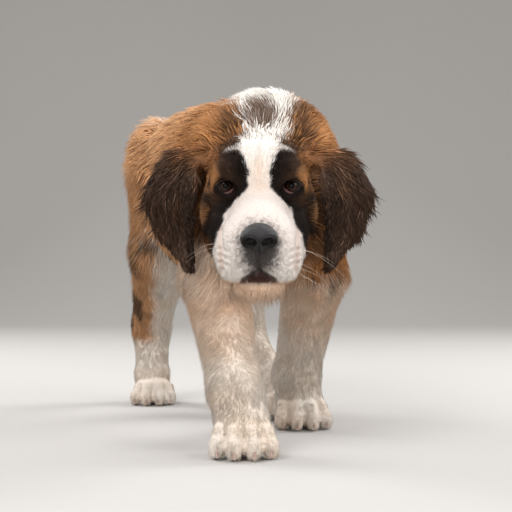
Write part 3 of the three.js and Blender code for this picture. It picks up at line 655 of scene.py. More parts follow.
def paint(mesh, colours):
    """The markings, as one colour on each point of a mesh."""
    layer = mesh.color_attributes.new("markings", "FLOAT_COLOR", "POINT")
    rgba = np.c_[np.clip(colours, 0, 1), np.ones(len(colours))]
    layer.data.foreach_set("color", rgba.astype(np.float32).ravel())


def finish_piece(obj, surface, slot, *nodes):
    """A piece gets its material, rides on the body, and stands for its nodes; its slot is not used."""
    obj.data.materials.append(surface)
    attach(obj, "root")
    if nodes:
        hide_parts(*nodes)
    return obj


def add(tree, kind, sockets, **settings):
    """A new shader node with its settings; each named socket is fed by another node's output or set to a value."""
    made = tree.nodes.new(kind)
    for name, value in settings.items():
        setattr(made, name, value)
    for name, value in sockets.items():
        if isinstance(value, bpy.types.NodeSocket):
            tree.links.new(value, made.inputs[name])
        else:
            made.inputs[name].default_value = value
    return made.outputs


def grain_group():
    """A node group of fine noise on object coordinates: a colour varied by it, and its height."""
    if "coat_grain" in bpy.data.node_groups:
        return bpy.data.node_groups["coat_grain"]
    group = bpy.data.node_groups.new("coat_grain", "ShaderNodeTree")
    for name, kind in (("Colour", "NodeSocketColor"), ("Scale", "NodeSocketFloat"), ("Amount", "NodeSocketFloat")):
        group.interface.new_socket(name, in_out="INPUT", socket_type=kind)
    group.interface.new_socket("Colour", in_out="OUTPUT", socket_type="NodeSocketColor")
    group.interface.new_socket("Height", in_out="OUTPUT", socket_type="NodeSocketFloat")
    given = add(group, "NodeGroupInput", {})
    where = add(group, "ShaderNodeTexCoord", {})["Object"]
    grain = add(group, "ShaderNodeTexNoise", {"Detail": 4, "Vector": where, "Scale": given["Scale"]})["Fac"]
    centred = add(group, "ShaderNodeMath", {0: grain, 1: 0.5}, operation="SUBTRACT")[0]
    spread = add(group, "ShaderNodeMath", {0: centred, 1: given["Amount"], 2: 1}, operation="MULTIPLY_ADD")[0]
    vary = add(group, "ShaderNodeHueSaturation", {"Value": spread, "Color": given["Colour"]})["Color"]
    add(group, "NodeGroupOutput", {"Colour": vary, "Height": grain})
    return group


def grained(name, colour=None, scale=400, amount=0.5, bump=0.0, bump_scale=0, **sockets):
    """A material whose colour, plain or from the markings, is varied by the grain, with its bump and finish."""
    if name in bpy.data.materials:
        return bpy.data.materials[name]
    surface = bpy.data.materials.new(name)
    surface.use_nodes = True
    tree = surface.node_tree
    shader = tree.nodes["Principled BSDF"].inputs
    if colour is None:
        colour = add(tree, "ShaderNodeAttribute", {}, attribute_name="markings")["Color"]
    else:
        colour = (*colour, 1)
    given = {"Scale": scale, "Amount": amount, "Colour": colour}
    grain = add(tree, "ShaderNodeGroup", given, node_tree=grain_group())
    tree.links.new(grain["Colour"], shader["Base Color"])
    for socket, value in sockets.items():
        shader[socket.replace("_", " ")].default_value = value
    if bump:
        fine = add(tree, "ShaderNodeGroup", {"Scale": bump_scale}, node_tree=grain_group())
        raised = add(tree, "ShaderNodeBump", {"Distance": bump, "Strength": 0.8, "Height": fine["Height"]})
        tree.links.new(raised["Normal"], shader["Normal"])
    return surface


# ---- Skin ----
def face_folds(p):
    """How far the skin of the face is pressed in, in mm: creases beside the muzzle, wrinkles, brow and philtrum."""
    f, l, u = np.moveaxis(within(HEAD, p), -1, 0)
    h, away = p[:, 2] - HEAD[0][2], np.abs(l)
    lower = window(-92, -84, -46, -36, h) * smooth(0, 14, f)
    press = 3.4 * bell(away - 38.5 - 0.05 * (h + 62), 2.4) * lower
    press = press + 1.3 * bell(l, 1.3) * smooth(55, 64, f) * smooth(-36, -42, u)
    press = press + 1.2 * bell(l, 2.6) * window(8, 20, 40, 60, h)
    ripple = 1.3 * window(27, 33, 40, 44, away) * smooth(10, 20, f)
    brow = 1.6 * window(8, 14, 36, 46, away)
    bag = 0.8 * window(24, 30, 46, 54, away) * smooth(-30, -14, f)
    for line in (-65, -72, -79):
        press = press + ripple * bell(h - line - 0.3 * (away - 35), 2.0)
    for line in (30, 38):
        press = press + brow * bell(h - line + 0.01 * (away - 22) ** 2, 2.0)
    for line in (-16, -23):
        press = press + bag * bell(h - line - 0.016 * (away - 34) ** 2, 1.7)
    return press


def eye_hollow(p):
    """How far the skin goes back to make room for each eyeball: 20 mm inside an almond, none outside it."""
    f, l, u = np.moveaxis(within(HEAD, p), -1, 0)
    k = np.hypot((np.abs(l) - EYE_ACROSS) / 12.0, (u + 1) / 11.0)
    return 20 * smooth(1.12, 0.85, k) * smooth(-30, -16, f)


def below(field, depth):
    """A field whose surface lies this many mm inside another's."""
    return lambda p: field(p) + depth


def skin_parts():
    """The tubes that the skin is fused from: trunk, neck, skull, jaw, tail, ears, legs and toes."""
    brow = HEAD[1][2]
    parts = [
        sleeve([body(10, 0, 262), body(90, 0, 272), body(200, 0, 282), body(300, 0, 296)], UP, 60, 64, trunk_skin),
        sleeve([body(46, 0, 298), body(0, 0, 298), head(-84, 0, -18)], UP, 30, 48, below(neck, DEPTH["neck"])),
        sleeve([head(-72, 0, -4), head(-20, 0, -14), head(30, 0, -34), head(62, 0, -40)], brow, 60, 64,
               below(skull, 2.5)),
        sleeve([head(-44, 0, -72), head(0, 0, -80), head(48, 0, -87)], brow, 40, 32, below(jaw, 3)),
        sleeve(TAIL, (0, 1, 0.3), 50, 24, below(tail, DEPTH["tail"])),
        ear_surface(-1),
        ear_surface(1),
    ]
    for leg in LEGS.values():
        path = [*leg["joints"], leg["base"][0] + (0, 0, 12)]
        field = functools.partial(leg_skin, leg)
        parts.append(sleeve(path, -leg["base"][1][0], 80, 48, field))
        for reach, across in toe_places(1):
            line = ((reach - 24, across * 0.7, 22), (reach - 11, across * 0.86, 20), (reach, across, 10.5))
            path = [place(leg["base"], np.array(spot) * leg["share"]) for spot in line]
            parts.append(sleeve(path, leg["base"][1][1], 16, 20, field))
    return parts


def ear_share(points):
    """1 on the ears, which the smooth fields leave alone, and 0 away from them."""
    return smooth(12, 7, np.minimum(ear_near(-1, points)[0], ear_near(1, points)[0]))


def make_skin(settings):
    """Sleeves of every part are fused to one closed surface, set on the smooth fields and refined on the face."""
    parts = skin_parts()
    points, quads = joined([(made, quads) for made, (quads, _) in parts])
    ends = joined([(made, ends) for made, (_, ends) in parts])[1]
    raw = mesh_of("raw_skin", points, [quads, ends])
    fuse = raw.modifiers.new("fuse", "REMESH")
    fuse.mode = "VOXEL"
    fuse.voxel_size = settings.skin_grain
    mesh = bpy.data.meshes.new_from_object(raw.evaluated_get(bpy.context.evaluated_depsgraph_get()))
    bpy.data.objects.remove(raw)
    points = read_points(mesh)
    write_points(mesh, settle(points, skin_field, 5, ear_share(points)))
    refine_face(mesh)
    points = read_points(mesh)
    hold = ear_share(points)
    points = settle(points, skin_field, 2, hold)
    _, g = slope(skin_field, points)
    points = points - unit(g) * (face_folds(points) * (1 - hold))[:, None]
    points = points - HEAD[1][0] * eye_hollow(points)[:, None]
    points[:, 2] = np.maximum(points[:, 2], 0.5)
    write_points(mesh, points)
    mesh.name = "skin"
    mesh.polygons.foreach_set("use_smooth", np.ones(len(mesh.polygons), bool))
    colours = markings(points, survey(points))
    # The skin takes the coat's colours a tenth darker, as painted shade under the coat, with pink bare skin under
    # pale coat higher up and dark pads at the soles.
    bare = 0.25 * smooth(0.3, 0.6, colours.mean(1)) * smooth(120, 260, points[:, 2])
    paint(mesh, over(colours * 0.9, ("skin_pink", bare), ("pad", smooth(3.5, 1.5, points[:, 2]))))
    obj = bpy.data.objects.new("skin", mesh)
    bpy.context.scene.collection.objects.link(obj)
    return obj


def read(items, field, kind=np.float32):
    """A field of a mesh's vertices or triangles, as rows of three."""
    flat = np.empty(len(items) * 3, kind)
    items.foreach_get(field, flat)
    return flat.reshape(-1, 3)


def read_points(mesh):
    """A mesh's points, in design millimetres."""
    return read(mesh.vertices, "co").astype(float) * 1000 + SHIFT


def write_points(mesh, points):
    """Points in design millimetres, put back into their mesh."""
    mesh.vertices.foreach_set("co", ((points - SHIFT) / 1000).astype(np.float32).ravel())
    mesh.update()


def refine_face(mesh):
    """The faces from the brow to the lips, and of the paws, are split in four, for folds, lids and toes."""
    points = read_points(mesh)
    f, l, u = within(HEAD, points).T
    face = (f > -22) & (np.abs(l) < 56) & (u > -112) & (u < 40) | (points[:, 2] < 40)
    work = bmesh.new()
    work.from_mesh(mesh)
    edges = [e for e in work.edges if face[e.verts[0].index] and face[e.verts[1].index]]
    bmesh.ops.subdivide_edges(work, edges=edges, cuts=1, use_grid_fill=True)
    bmesh.ops.triangulate(work, faces=[p for p in work.faces if len(p.verts) > 4])
    work.to_mesh(mesh)
    work.free()


# ---- Coat ----
# Each coat piece: its name, the part it grows on, its tufts at full density, and a tuft's segments
COAT_PIECES = [
    ("trunk_left", "trunk", 15500, 2), ("trunk_right", "trunk", 15500, 2), ("neck", "neck", 13000, 2),
    ("crown", "neck", 15500, 2), ("tail", "tail", 3500, 2), ("head", "head", 13000, 2), ("face", "face", 32000, 1),
    ("ear_left", "ear_left", 6500, 3), ("ear_right", "ear_right", 6500, 3),
]
for leg_name in LEG_NAMES:
    full = 24000 if "fore" in leg_name else 17000
    COAT_PIECES += [(leg_name, leg_name, full, 1), ("paw_" + leg_name, leg_name, 7000, 1)]

# Each kind of coat: a tuft's length and width, its lift off the skin in degrees, and how far it waves aside
COATS = {
    "cape": (33, 1.9, 30, 2), "ruff": (38, 2, 40, 3), "spine": (44, 2, 42, 3), "nape": (32, 1.5, 30, 1.6),
    "poll": (38, 1.5, 50, 2.5), "thigh": (23, 1.5, 28, 0), "shank": (12, 1.1, 26, 0), "foot": (6.5, 1, 18, 0.3),
    "muzzle": (4.2, 0.85, 18, 0.3), "skull": (25, 1.5, 38, 1.5), "brow": (10, 1.1, 26, 0.6),
    "cheek": (13, 1.3, 30, 1), "chin": (14, 1.2, 34, 1.2), "eye": (4, 0.8, 20, 0.2), "ear_root": (16, 1.6, 18, 2),
    "ear": (27, 1.8, 17, 6), "ear_low": (15, 1.5, 14, 3), "ear_strip": (8, 1.3, 10, 0.5),
    "ear_inside": (8, 1.4, 12, 0.5),
}


def coat_lie(p, n, seen):
    """The coat at each root: its flow along the skin, and a tuft's length, width, lift and wave."""
    near, ear, is_ear, head_share = seen
    a, b, c = within(BODY, p).T
    f, l, u = within(HEAD, p).T
    z = p[:, 2]
    low, front = np.clip((392 - c) / 150, 0, 1), np.clip((50 - a) / 60, 0, 1)
    flow = BODY[1][0] * (1 - 0.4 * front * low)[:, None] + BODY[1][1] * (np.sign(b) * 0.35 * (1 - low))[:, None]
    flow = unit(flow - UP * (0.15 + 0.75 * low + 1.6 * front * low)[:, None])
    collar = unit(p - head(-30, 0, -20)) + np.array([0, 0.35, 0])
    legs = smooth(-6, 8, near[:, :2].min(1) - near[:, 4:8].min(1))
    foot = smooth(52, 22, z)
    from_nose = unit(p - head(74, 0, -12)) - UP * 0.55 * smooth(-30, -60, u)[:, None]
    for way, share in (
        (collar, smooth(46, 12, near[:, 2]) * smooth(60, 30, a)),
        (0.35 * BODY[1][0] - UP, legs),
        (np.array([0, -1.0, -0.45]), foot),
        (np.array([0, 0.15, -1.0]), smooth(12, 4, near[:, 3] - near[:, 0]) * (near[:, 3] < 10)),
        (from_nose, head_share),
    ):
        flow = mix(flow, way, share)
    back, nape = smooth(-12, -60, f), smooth(300, 345, z) * smooth(75, 40, a)
    lie = over(
        "cape",
        ("ruff", smooth(260, 320, z) * smooth(90, 40, a)),
        ("spine", smooth(330, 372, z) * smooth(40, 70, a)),
        ("nape", nape),
        ("poll", nape * smooth(345, 375, z)),
        ("thigh", legs),
        ("shank", np.minimum(legs, smooth(200, 140, z))),
        ("foot", foot),
        table=COATS,
    )
    face = over(
        "muzzle",
        ("skull", back),
        ("brow", smooth(6, 20, u) * smooth(30, 10, f) * (1 - back)),
        ("cheek", smooth(40, 54, np.abs(l)) * smooth(30, 0, f) * (1 - back)),
        ("chin", smooth(-80, -90, u) * smooth(98, 84, f)),
        table=COATS,
    )
    near_eye = smooth(24, 12, np.hypot(np.abs(l) - 34, u + 1)) * head_share
    lie = over(mix(lie, face, head_share), ("eye", near_eye), table=COATS)
    t, x, way, out, wide, inner, mid = ear[1:]
    inside = ((p - mid) * out).sum(-1) < 0
    on_ear = over(
        "ear_root",
        ("ear", smooth(0.04, 0.22, t)),
        ("ear_low", smooth(0.4, 0.6, t)),
        ("ear_strip", np.maximum(smooth(0.2, 0.42, inner), smooth(0.62, 0.78, t))),
        ("ear_inside", inside * smooth(0.8, 0.6, np.abs(x))),
        table=COATS,
    )
    lie = np.where(is_ear[:, None], on_ear, lie)
    flow = np.where(is_ear[:, None], way + wide * (0.28 * x * window(0.0, 0.3, 0.5, 0.9, t))[:, None], flow)
    flow = flow + 0.55 * noise3(p, 15, 51) * np.where(is_ear, 0.5, 1 - 0.7 * head_share)[:, None]
    return unit(flow - n * (flow * n).sum(-1, keepdims=True)), lie.T


def sample_skin(rng, points, normals, triangles, weight, count):
    """Random places on triangles, as many on each as its area and weight earn, with the skin's direction there."""
    a, b, c = (points[triangles[:, k]] for k in range(3))
    area = np.linalg.norm(np.cross(b - a, c - a), axis=1) * weight
    pick = rng.choice(len(triangles), size=count, p=area / area.sum())
    s, t = np.sqrt(rng.random(count)), rng.random(count)
    share = np.stack([1 - s, s * (1 - t), s * t], -1)
    tri = triangles[pick]
    spot = (points[tri] * share[..., None]).sum(1)
    return spot, unit((normals[tri] * share[..., None]).sum(1))


def tufts(rng, roots, normals, flow, lie, colour, uv, segments):
    """Three-sided tapered tufts to a point. Each one's middle line leaves its root at the lift and bends over
    along the flow: root + length (t cos lift along flow + (t - t^2 / 2) sin lift outwards), with a wave."""
    count = len(roots)
    length, width, lift, wave = lie
    length = length * rng.uniform(0.72, 1.25, count)
    width = width * rng.uniform(0.75, 1.25, count)
    lift = np.radians(lift * rng.uniform(0.6, 1.35, count))
    turn = rng.normal(0, 0.12, count)[:, None]
    flow = unit(flow * np.cos(turn) + np.cross(flow, normals) * np.sin(turn))
    across = np.cross(flow, normals)
    phase = 5 * noise(roots, 22, 61) + rng.normal(0, 0.35, count)
    rows = []
    for t in np.linspace(0, 1, segments + 1):
        rise = length * np.sin(lift) * (t - 0.5 * t * t) - 1.2 * (1 - t)
        sway = wave * t * np.sin(5.2 * t + phase)
        mid = roots + flow * (length * np.cos(lift) * t)[:, None] + normals * rise[:, None]
        mid = mid + across * sway[:, None] - UP * (0.1 * length * t * t)[:, None]
        w = width * (0.8 if t == 0 else 1.0 - 0.35 * t)
        corners = ((0.5, -0.15), (0.0, 0.32), (-0.5, -0.15)) if t < 1 else ((0, 0),)
        rows += [mid + across * (x * w)[:, None] + normals * (y * w)[:, None] for x, y in corners]
    points = np.stack(rows, 1)
    points[..., 2] = np.maximum(points[..., 2], 0.25)
    per = points.shape[1]
    faces = [(0, 1, 2)]
    for s in range(0, 3 * segments - 3, 3):
        for j, k in ((0, 1), (1, 2), (2, 0)):
            faces += [(s + j, s + 3 + j, s + 3 + k), (s + j, s + 3 + k, s + k)]
    s = 3 * (segments - 1)
    faces += [(s, s + 3, s + 1), (s + 1, s + 3, s + 2), (s + 2, s + 3, s)]
    faces = (np.array(faces)[None] + per * np.arange(count)[:, None, None]).reshape(-1, 3)
    shade = rng.uniform(0.84, 1.14, count)[:, None, None]
    level = np.minimum(np.arange(per) // 3, segments) / segments
    root_c, tip_c = colour
    tone = (root_c[:, None] + (tip_c - root_c)[:, None] * level[None, :, None]) * shade
    spread = np.stack([0.0012 * (np.arange(per) % 3 - 1), 0.003 * (level - 0.5)], -1)
    points = points.reshape(-1, 3)
    return points, outward(points, faces), tone.reshape(-1, 3), (uv[:, None] + spread[None]).reshape(-1, 2)


def unwrap(kind, p, seen):
    """A root's place on an unwrap of the skin: round and along a part, or outwards from the nose on the head."""
    if kind in ("head", "face"):
        f, l, u = within((head(-14, 0, -30), HEAD[1]), p).T
        r = 0.48 * np.arccos(np.clip(f / np.sqrt(f * f + l * l + u * u), -1, 1)) / np.pi
        a = np.arctan2(u, l)
        return np.stack([0.5 + r * np.cos(a), 0.5 + r * np.sin(a)], -1)
    if kind.startswith("ear"):
        _, t, x, _, out, _, _, mid = seen[1]
        inside = (((p - mid) * out).sum(-1) < 0) * 0.5
        return np.stack([0.25 + 0.22 * x + inside, 0.03 + 0.94 * t], -1)
    x, y, z = p.T
    if kind.startswith(("fore", "hind")):
        joints = np.array(LEGS[kind]["joints"])
        mid_x, mid_y = (np.interp(-z, -joints[:, 2], joints[:, k]) for k in (0, 1))
        angle, level = np.arctan2(y - mid_y, x - mid_x), z / 380
    elif kind == "tail":
        angle, level = np.arctan2(y - np.interp(z, [104, 330], [384, 330]), x + 130), (z - 80) / 280
    else:
        a, b, c = within(BODY, p).T
        angle, level = np.arctan2(b, c - 275), (a + 120) / 520
    return np.stack([0.5 + 0.47 * angle / np.pi, np.clip(0.03 + 0.94 * level, 0, 1)], -1)


def piece_weight(piece, p, seen):
    """The share of a coat piece's tufts that each place earns, 0 where the piece has none."""
    near, _, is_ear, head_share = seen
    a, b, _ = within(BODY, p).T
    f, l, u = within(HEAD, p).T
    z = p[:, 2]
    owner = np.where(is_ear, -1, np.where(head_share > 0.5, 2, near.argmin(1)))
    if piece in ("face", "head"):
        nose = np.linalg.norm(p - NOSE_MIDDLE, axis=-1) > NOSE_BARE
        eye = np.hypot((np.abs(l) - EYE_ACROSS) / 13.4, (u + 1) / 12.3) > 1
        return (owner == 2) & nose & (eye | (f < -22)) & ((f > -22) == (piece == "face"))
    if piece.startswith("ear"):
        return is_ear & ((p[:, 0] > 3) == piece.endswith("left"))
    if piece.startswith("trunk"):
        return (owner == 0) & ((b > 0) == piece.endswith("left"))
    if piece in ("neck", "crown"):
        return (owner == 1) & (((z > 285) & (a < 30)) == (piece == "crown"))
    if piece == "tail":
        return owner == 3
    here = (owner == 4 + LEG_NAMES.index(piece.removeprefix("paw_"))) & (z > 1.2)
    if piece.startswith("paw_"):
        return here & (z < PAW_TOP)
    return (here & (z >= PAW_TOP)) * (1 + 0.6 * smooth(190, 130, z))


def lay(name, made, slot):
    """A coat piece from its tufts."""
    shape, faces, colours, uv = made
    hair = grained("coat_hair", scale=700, amount=0.35, Roughness=0.62, Specular_IOR_Level=0.03)
    finish_piece(mesh_of("coat_" + name, shape, [faces], colours, uv), hair, slot)


def lay_coat(names, settings):
    """Tufts over the skin for the named pieces, with the skin's markings."""
    mesh = bpy.data.objects["skin"].data
    mesh.calc_loop_triangles()
    triangles = read(mesh.loop_triangles, "vertices", np.int32)
    points = read_points(mesh)
    normals = read(mesh.vertices, "normal").astype(float)
    middles = points[triangles].mean(1)
    seen = survey(middles)
    for index, (name, kind, count, segments) in enumerate(COAT_PIECES):
        if name not in names:
            continue
        rng = np.random.default_rng(settings.coat_seed + index)
        weight = piece_weight(name, middles, seen).astype(float)
        count = int(count * settings.coat_density)
        roots, n = sample_skin(rng, points, normals, triangles, weight, count)
        at = survey(roots)
        flow, lie = coat_lie(roots, n, at)
        lie[0] *= settings.coat_length
        stray = rng.normal(0, 1.0, (count, 3)) * np.clip(lie[0] * 0.12, 0.5, 3)[:, None]
        tone = markings(roots + flow * (lie[0] * 0.3)[:, None] + stray, at)
        pale = smooth(0.3, 0.6, tone.mean(1))
        spread = 0.14 - 0.1 * pale + 0.3 * smooth(0.2, 0.02, tone.mean(1))
        tone = tone * np.exp(rng.normal(0, 1, count) * spread)[:, None]
        ends = (mix(tone * 0.78, tone, pale), mix(tone * 1.15, tone * 1.1, pale))
        made = tufts(rng, roots, n, flow, lie, ends, unwrap(kind, roots, at), segments)
        shade = made[2].mean()
        lay(name, made, "white_fur" if shade > 0.4 else "brown_fur" if shade > 0.1 else "dark_fur")


# ---- Eyes, nose, claws, whiskers ----
GAZE = unit(np.array([-0.02, -1.0, -0.05]))
EYE_R = 10.5
EYE_RIGHT = unit(np.cross(UP, GAZE))
EYE_UP = np.cross(GAZE, EYE_RIGHT)


def make_eye(side, settings):
    """An eyeball: rings round the gaze, r = R (0.985 + 0.06 exp(-(angle / 0.45)^2)) for the clear front's bulge."""
    rows, cols = 56, 64
    t, a = sphere_grid(0.02, rows, cols)
    ray = EYE_RIGHT * np.cos(a)[:, None] + EYE_UP * np.sin(a)[:, None]
    ray = GAZE * np.cos(t)[:, None] + ray * np.sin(t)[:, None]
    points = EYE_PLACE[side] + ray * (EYE_R * (0.985 + 0.06 * bell(t, 0.45)))[:, None]
    spoke = noise(np.stack([np.cos(a) * 9, np.sin(a) * 9, t * 3], -1), 1.0, 71)
    iris = np.array(settings.iris)
    colours = mix(iris * 1.1, iris * 0.4, smooth(0.33, 0.56, t)) * (1 + 0.3 * spoke)[:, None]
    haw = smooth(-0.25, -0.45, ray @ EYE_UP) * smooth(0.3, -0.15, ray @ EYE_RIGHT * SIDES[side])
    colours = over(colours, ("pupil", smooth(0.36, 0.31, t)), ("iris_rim", bell(t - 0.62, 0.07)))
    colours = mix(colours, over("eye_white", ("haw", haw)), smooth(0.64, 0.70, t))
    # The eyeball darkens towards its top: painted shade under the upper lid.
    colours = colours * mix(1.0, 0.25, smooth(0.0, 0.4, ray @ EYE_UP))
    obj = mesh_of("eyeball_" + side, points, [solid(points, rows, cols)], colours)
    glass = grained("eye_gloss", scale=900, amount=0.15, Roughness=0.12, Specular_IOR_Level=0.06,
                    Coat_Weight=0.12, Coat_Roughness=0.03)
    return finish_piece(obj, glass, "eye_glass", "eye_" + side)


def lid_hair(side, points, quads, level):
    """The shortest coat, 3 mm long, over a lid's outer part, turned away from the eye."""
    rng = np.random.default_rng(7)
    triangles = halves(quads)
    a, b, c = (points[triangles[:, k]] for k in range(3))
    normals = np.zeros_like(points)
    for k in range(3):
        np.add.at(normals, triangles[:, k], np.cross(b - a, c - a))
    weight = smooth(0.2, 0.4, level[triangles].mean(1))
    roots, n = sample_skin(rng, points, unit(normals), triangles, weight, 2600)
    flow = unit(roots - EYE_PLACE[side]) + 0.3 * noise3(roots, 6, 91) + np.array([SIDES[side] * 0.5, 0, 0])
    flow = unit(flow - n * (flow * n).sum(-1, keepdims=True))
    lie = np.tile(np.array([[3.0], [0.7], [24.0], [0.0]]), (1, len(roots)))
    tone = face_colour(roots + rng.normal(0, 0.6, roots.shape)) * np.exp(rng.normal(0, 0.4, len(roots)))[:, None]
    made = tufts(rng, roots, n, flow, lie, (tone * 0.8, tone * 1.2), unwrap("face", roots, None), 1)
    lay("lids_" + side, made, "dark_fur")


def make_lids(side):
    """Lids round an eye: from an almond margin that lies on the eyeball, over a rolled rim, out to the skin."""
    right = EYE_RIGHT * SIDES[side]
    rows, cols = 27, 96
    a = np.linspace(0, 2 * np.pi, cols, endpoint=False)
    share = np.linspace(0, 1, rows - 1)[:, None]
    x = 8.8 * np.cos(a) + 0.6
    y = np.where(np.sin(a) > 0, 6.0 - 0.5 * np.cos(a), 6.6 * (1 - 0.3 * np.cos(a))) * np.sin(a) - 0.7 - 0.08 * x
    centre = EYE_PLACE[side]
    rim = centre + right * x[:, None] + EYE_UP * y[:, None]
    rim = rim + GAZE * np.sqrt((EYE_R + 0.25) ** 2 - x * x - y * y)[:, None]
    foot = centre + right * (x * 1.9)[:, None] + EYE_UP * (y * 2.2)[:, None] + GAZE * 26
    for _ in range(40):
        foot = foot - GAZE * np.clip(skin_field(foot), -2, 4)[:, None] * 0.8
    foot = foot - GAZE * 1.2
    upper = smooth(-0.3, 0.5, np.sin(a))
    swell = (1.3 + 0.9 * upper) * np.sin(np.pi * share**0.6)
    swell = swell - 1.3 * upper * bell(share - 0.5, 0.09) - 0.8 * (1 - upper) * bell(share - 0.6, 0.1)
    points = mix(rim[None], foot[None], share) + GAZE * swell[..., None]
    points = np.concatenate([[rim + (centre - rim) * 0.16], points]).reshape(-1, 3)
    quads = grid_faces(rows, cols)[0]
    normal = np.cross(points[quads[:, 1]] - points[quads[:, 0]], points[quads[:, 2]] - points[quads[:, 0]])
    if (normal @ GAZE).sum() < 0:
        quads = quads[:, ::-1]
    level = np.repeat(np.r_[0, share[:, 0]], cols)
    sin, cos = np.tile(np.sin(a), rows), np.tile(np.cos(a), rows)
    colours = over(
        np.tile(over("black"), (len(points), 1)),
        ("lid_grey", smooth(0.0, 0.4, sin) * bell(level - 0.1, 0.05)),
        ("lid_pink", smooth(0.1, -0.5, sin) * smooth(0.35, -0.3, cos) * smooth(0.1, 0.02, level) * 0.8),
        ("lid_shade", 0.8 * smooth(-0.3, -0.9, sin) * smooth(0.2, 0.5, level)),
    )
    colours = mix(colours, face_colour(points), smooth(0.35, 0.75, level))
    lid_hair(side, points, quads, level)
    obj = mesh_of("lids_" + side, points, [quads], colours)
    damp = grained("lid_skin", scale=800, amount=0.3, bump=0.0004, bump_scale=1500, Roughness=0.6,
                   Specular_IOR_Level=0.07)
    return finish_piece(obj, damp, "dark_fur")


nose_mass = flesh(blobs(HEAD, (79, 0, -22, 12, 13.5, 8.5), (81, 9.6, -28.5, 10, 9, 9), (84, 0, -33, 8, 7, 11)), 2.2)
nostrils = flesh(blobs(HEAD, (93, 8.6, -29.5, 12, 6.6, 5.4), (90, 14, -32.5, 10, 5.4, 2.4)), 0.8)


def nose_field(p):
    """The nose less its nostrils, with a groove down its middle and round the wings of the nostrils."""
    _, l, u = within(HEAD, p).T
    groove = 1.3 * bell(l, 0.9) * smooth(-24, -31, u)
    wing = 0.9 * bell(np.hypot((np.abs(l) - 9) / 8, (u + 29.5) / 6.8) - 1, 0.13) * smooth(-34, -27, u)
    return np.maximum(nose_mass(p) + groove + wing, -nostrils(p))


def make_nose():
    """The leather of the nose: rays from its middle, over the sphere, to its field's surface."""
    rows, cols = 120, 150
    centre = head(76, 0, -27)
    t, a = sphere_grid(0.01, rows, cols)
    ray = np.stack([np.cos(t), np.sin(t) * np.cos(a), np.sin(t) * np.sin(a)], -1) @ HEAD[1]
    r = np.full(len(t), 0.5)
    for _ in range(60):
        r = r - 0.6 * nose_field(centre + ray * r[:, None])
    points = centre + ray * r[:, None]
    dry = smooth(-30, -20, within(HEAD, points)[:, 2])
    # Deeper inside the nostrils the leather turns near black: painted shade.
    colours = over("nose_wet", ("nose_dry", dry), ("nostril_shade", smooth(0.5, 4.0, -nose_mass(points))))
    obj = mesh_of("nose_leather", points, [solid(points, rows, cols)], colours)
    leather = grained("nose_leather", scale=900, amount=1.0, bump=0.002, bump_scale=700, Roughness=0.42,
                      Specular_IOR_Level=0.35)
    return finish_piece(obj, leather, "nose_skin", "nose")


def make_claws(name):
    """A paw's four claws: round sections along a path that goes forward and bends down, r = 2.6 s (1 - t)^0.6."""
    leg = LEGS[name]
    s, (forward, aside, _) = leg["share"], leg["base"][1]
    rows, cols = 16, 16
    t, a = round_grid(0, 0.97, rows, cols)
    parts = []
    for reach, across in toe_places(s):
        root = place(leg["base"], (reach + 6.0 * s, across, 9.5 * s))
        mid = root + forward * (9.5 * s * t)[:, None] - UP * (6 * s * t * t)[:, None]
        r = 2.6 * s * (1 - t) ** 0.6
        ring = aside * (0.85 * r * np.cos(a))[:, None] + UP * (r * 1.2 * np.sin(a))[:, None]
        points = np.concatenate([mid + ring, [root - forward, root + forward * 9.5 * s - UP * 6 * s]])
        parts.append((points, solid(points, rows, cols)))
    points, faces = joined(parts)
    points[:, 2] = np.maximum(points[:, 2], 0.3)
    level = np.tile(np.r_[t, 0, 1], 4)
    obj = mesh_of("claws_" + name, points, [faces], over("claw_tip", ("claw_root", smooth(0.9, 0.1, level))))
    horn = grained("claw_horn", scale=500, amount=0.5, bump=0.0003, bump_scale=1200, Roughness=0.35)
    return finish_piece(obj, horn, "claw_horn", *[f"claw_{name}_{i}" for i in range(1, 5)])


def make_whiskers(rng):
    """Whiskers: thin tapered tubes that leave the lips outwards and droop, root + length t out - sag t^2 down."""
    parts = []
    rows, cols = 12, 5
    t, a = round_grid(0, 1, rows, cols)
    for side in np.repeat([-1, 1], 6):
        f, u = rng.uniform(34, 62), rng.uniform(-74, -44)
        start = head(f, side * 12, u)
        ray = unit(head(f - 4, side * 60, u - rng.uniform(0, 10)) - start)
        r = 0.0
        for _ in range(30):
            r = max(0.0, r - float(skin_field((start + ray * r)[None])[0]))
        root = start + ray * (r - 2)
        way = unit(ray + HEAD[1][0] * rng.uniform(-0.5, 0.3) + np.array([0, 0, rng.uniform(-0.7, 0.1)]))
        length, sag = rng.uniform(26, 46), rng.uniform(6, 16)
        mid = root + way * (length * t)[:, None] - UP * (sag * t * t)[:, None]
        aside = unit(np.cross(way, UP))
        radius = 0.13 * (1 - 0.7 * t)
        points = mid + aside * (radius * np.cos(a))[:, None]
        points = points + np.cross(way, aside) * (radius * np.sin(a))[:, None]
        points = np.concatenate([points, [mid[0], mid[-1]]])
        parts.append((points, solid(points, rows, cols)))
    points, faces = joined(parts)
    obj = mesh_of("whiskers", points, [faces])
    pale = grained("whisker", colour=(0.72, 0.62, 0.52), scale=300, amount=0.3, Roughness=0.4)
    return finish_piece(obj, pale, "white_fur")


# ---- Stage ----
# The photo's width, the focal length and how far the camera's middle lies above the horizon, in its pixels
PHOTO_PX, FOCAL_PX, HORIZON_PX = 512, 1180, 6
CAMERA_AT = np.array([0, -1320, 196])
# Each light: its place and size in metres, and its power in watts
LIGHTS = {
    "key": ((-1.1, -1.7, 1.9), 1.3, 34),
    "fill": ((1.7, -1.3, 1.1), 1.5, 22),
    "rim_left": ((-1.5, 1.1, 1.3), 0.9, 26),
    "rim_right": ((1.5, 1.0, 1.4), 0.9, 26),
    "top": ((0.0, 0.1, 2.2), 1.2, 14),
    "low": ((-0.3, -2.3, 0.35), 1.2, 10),
}


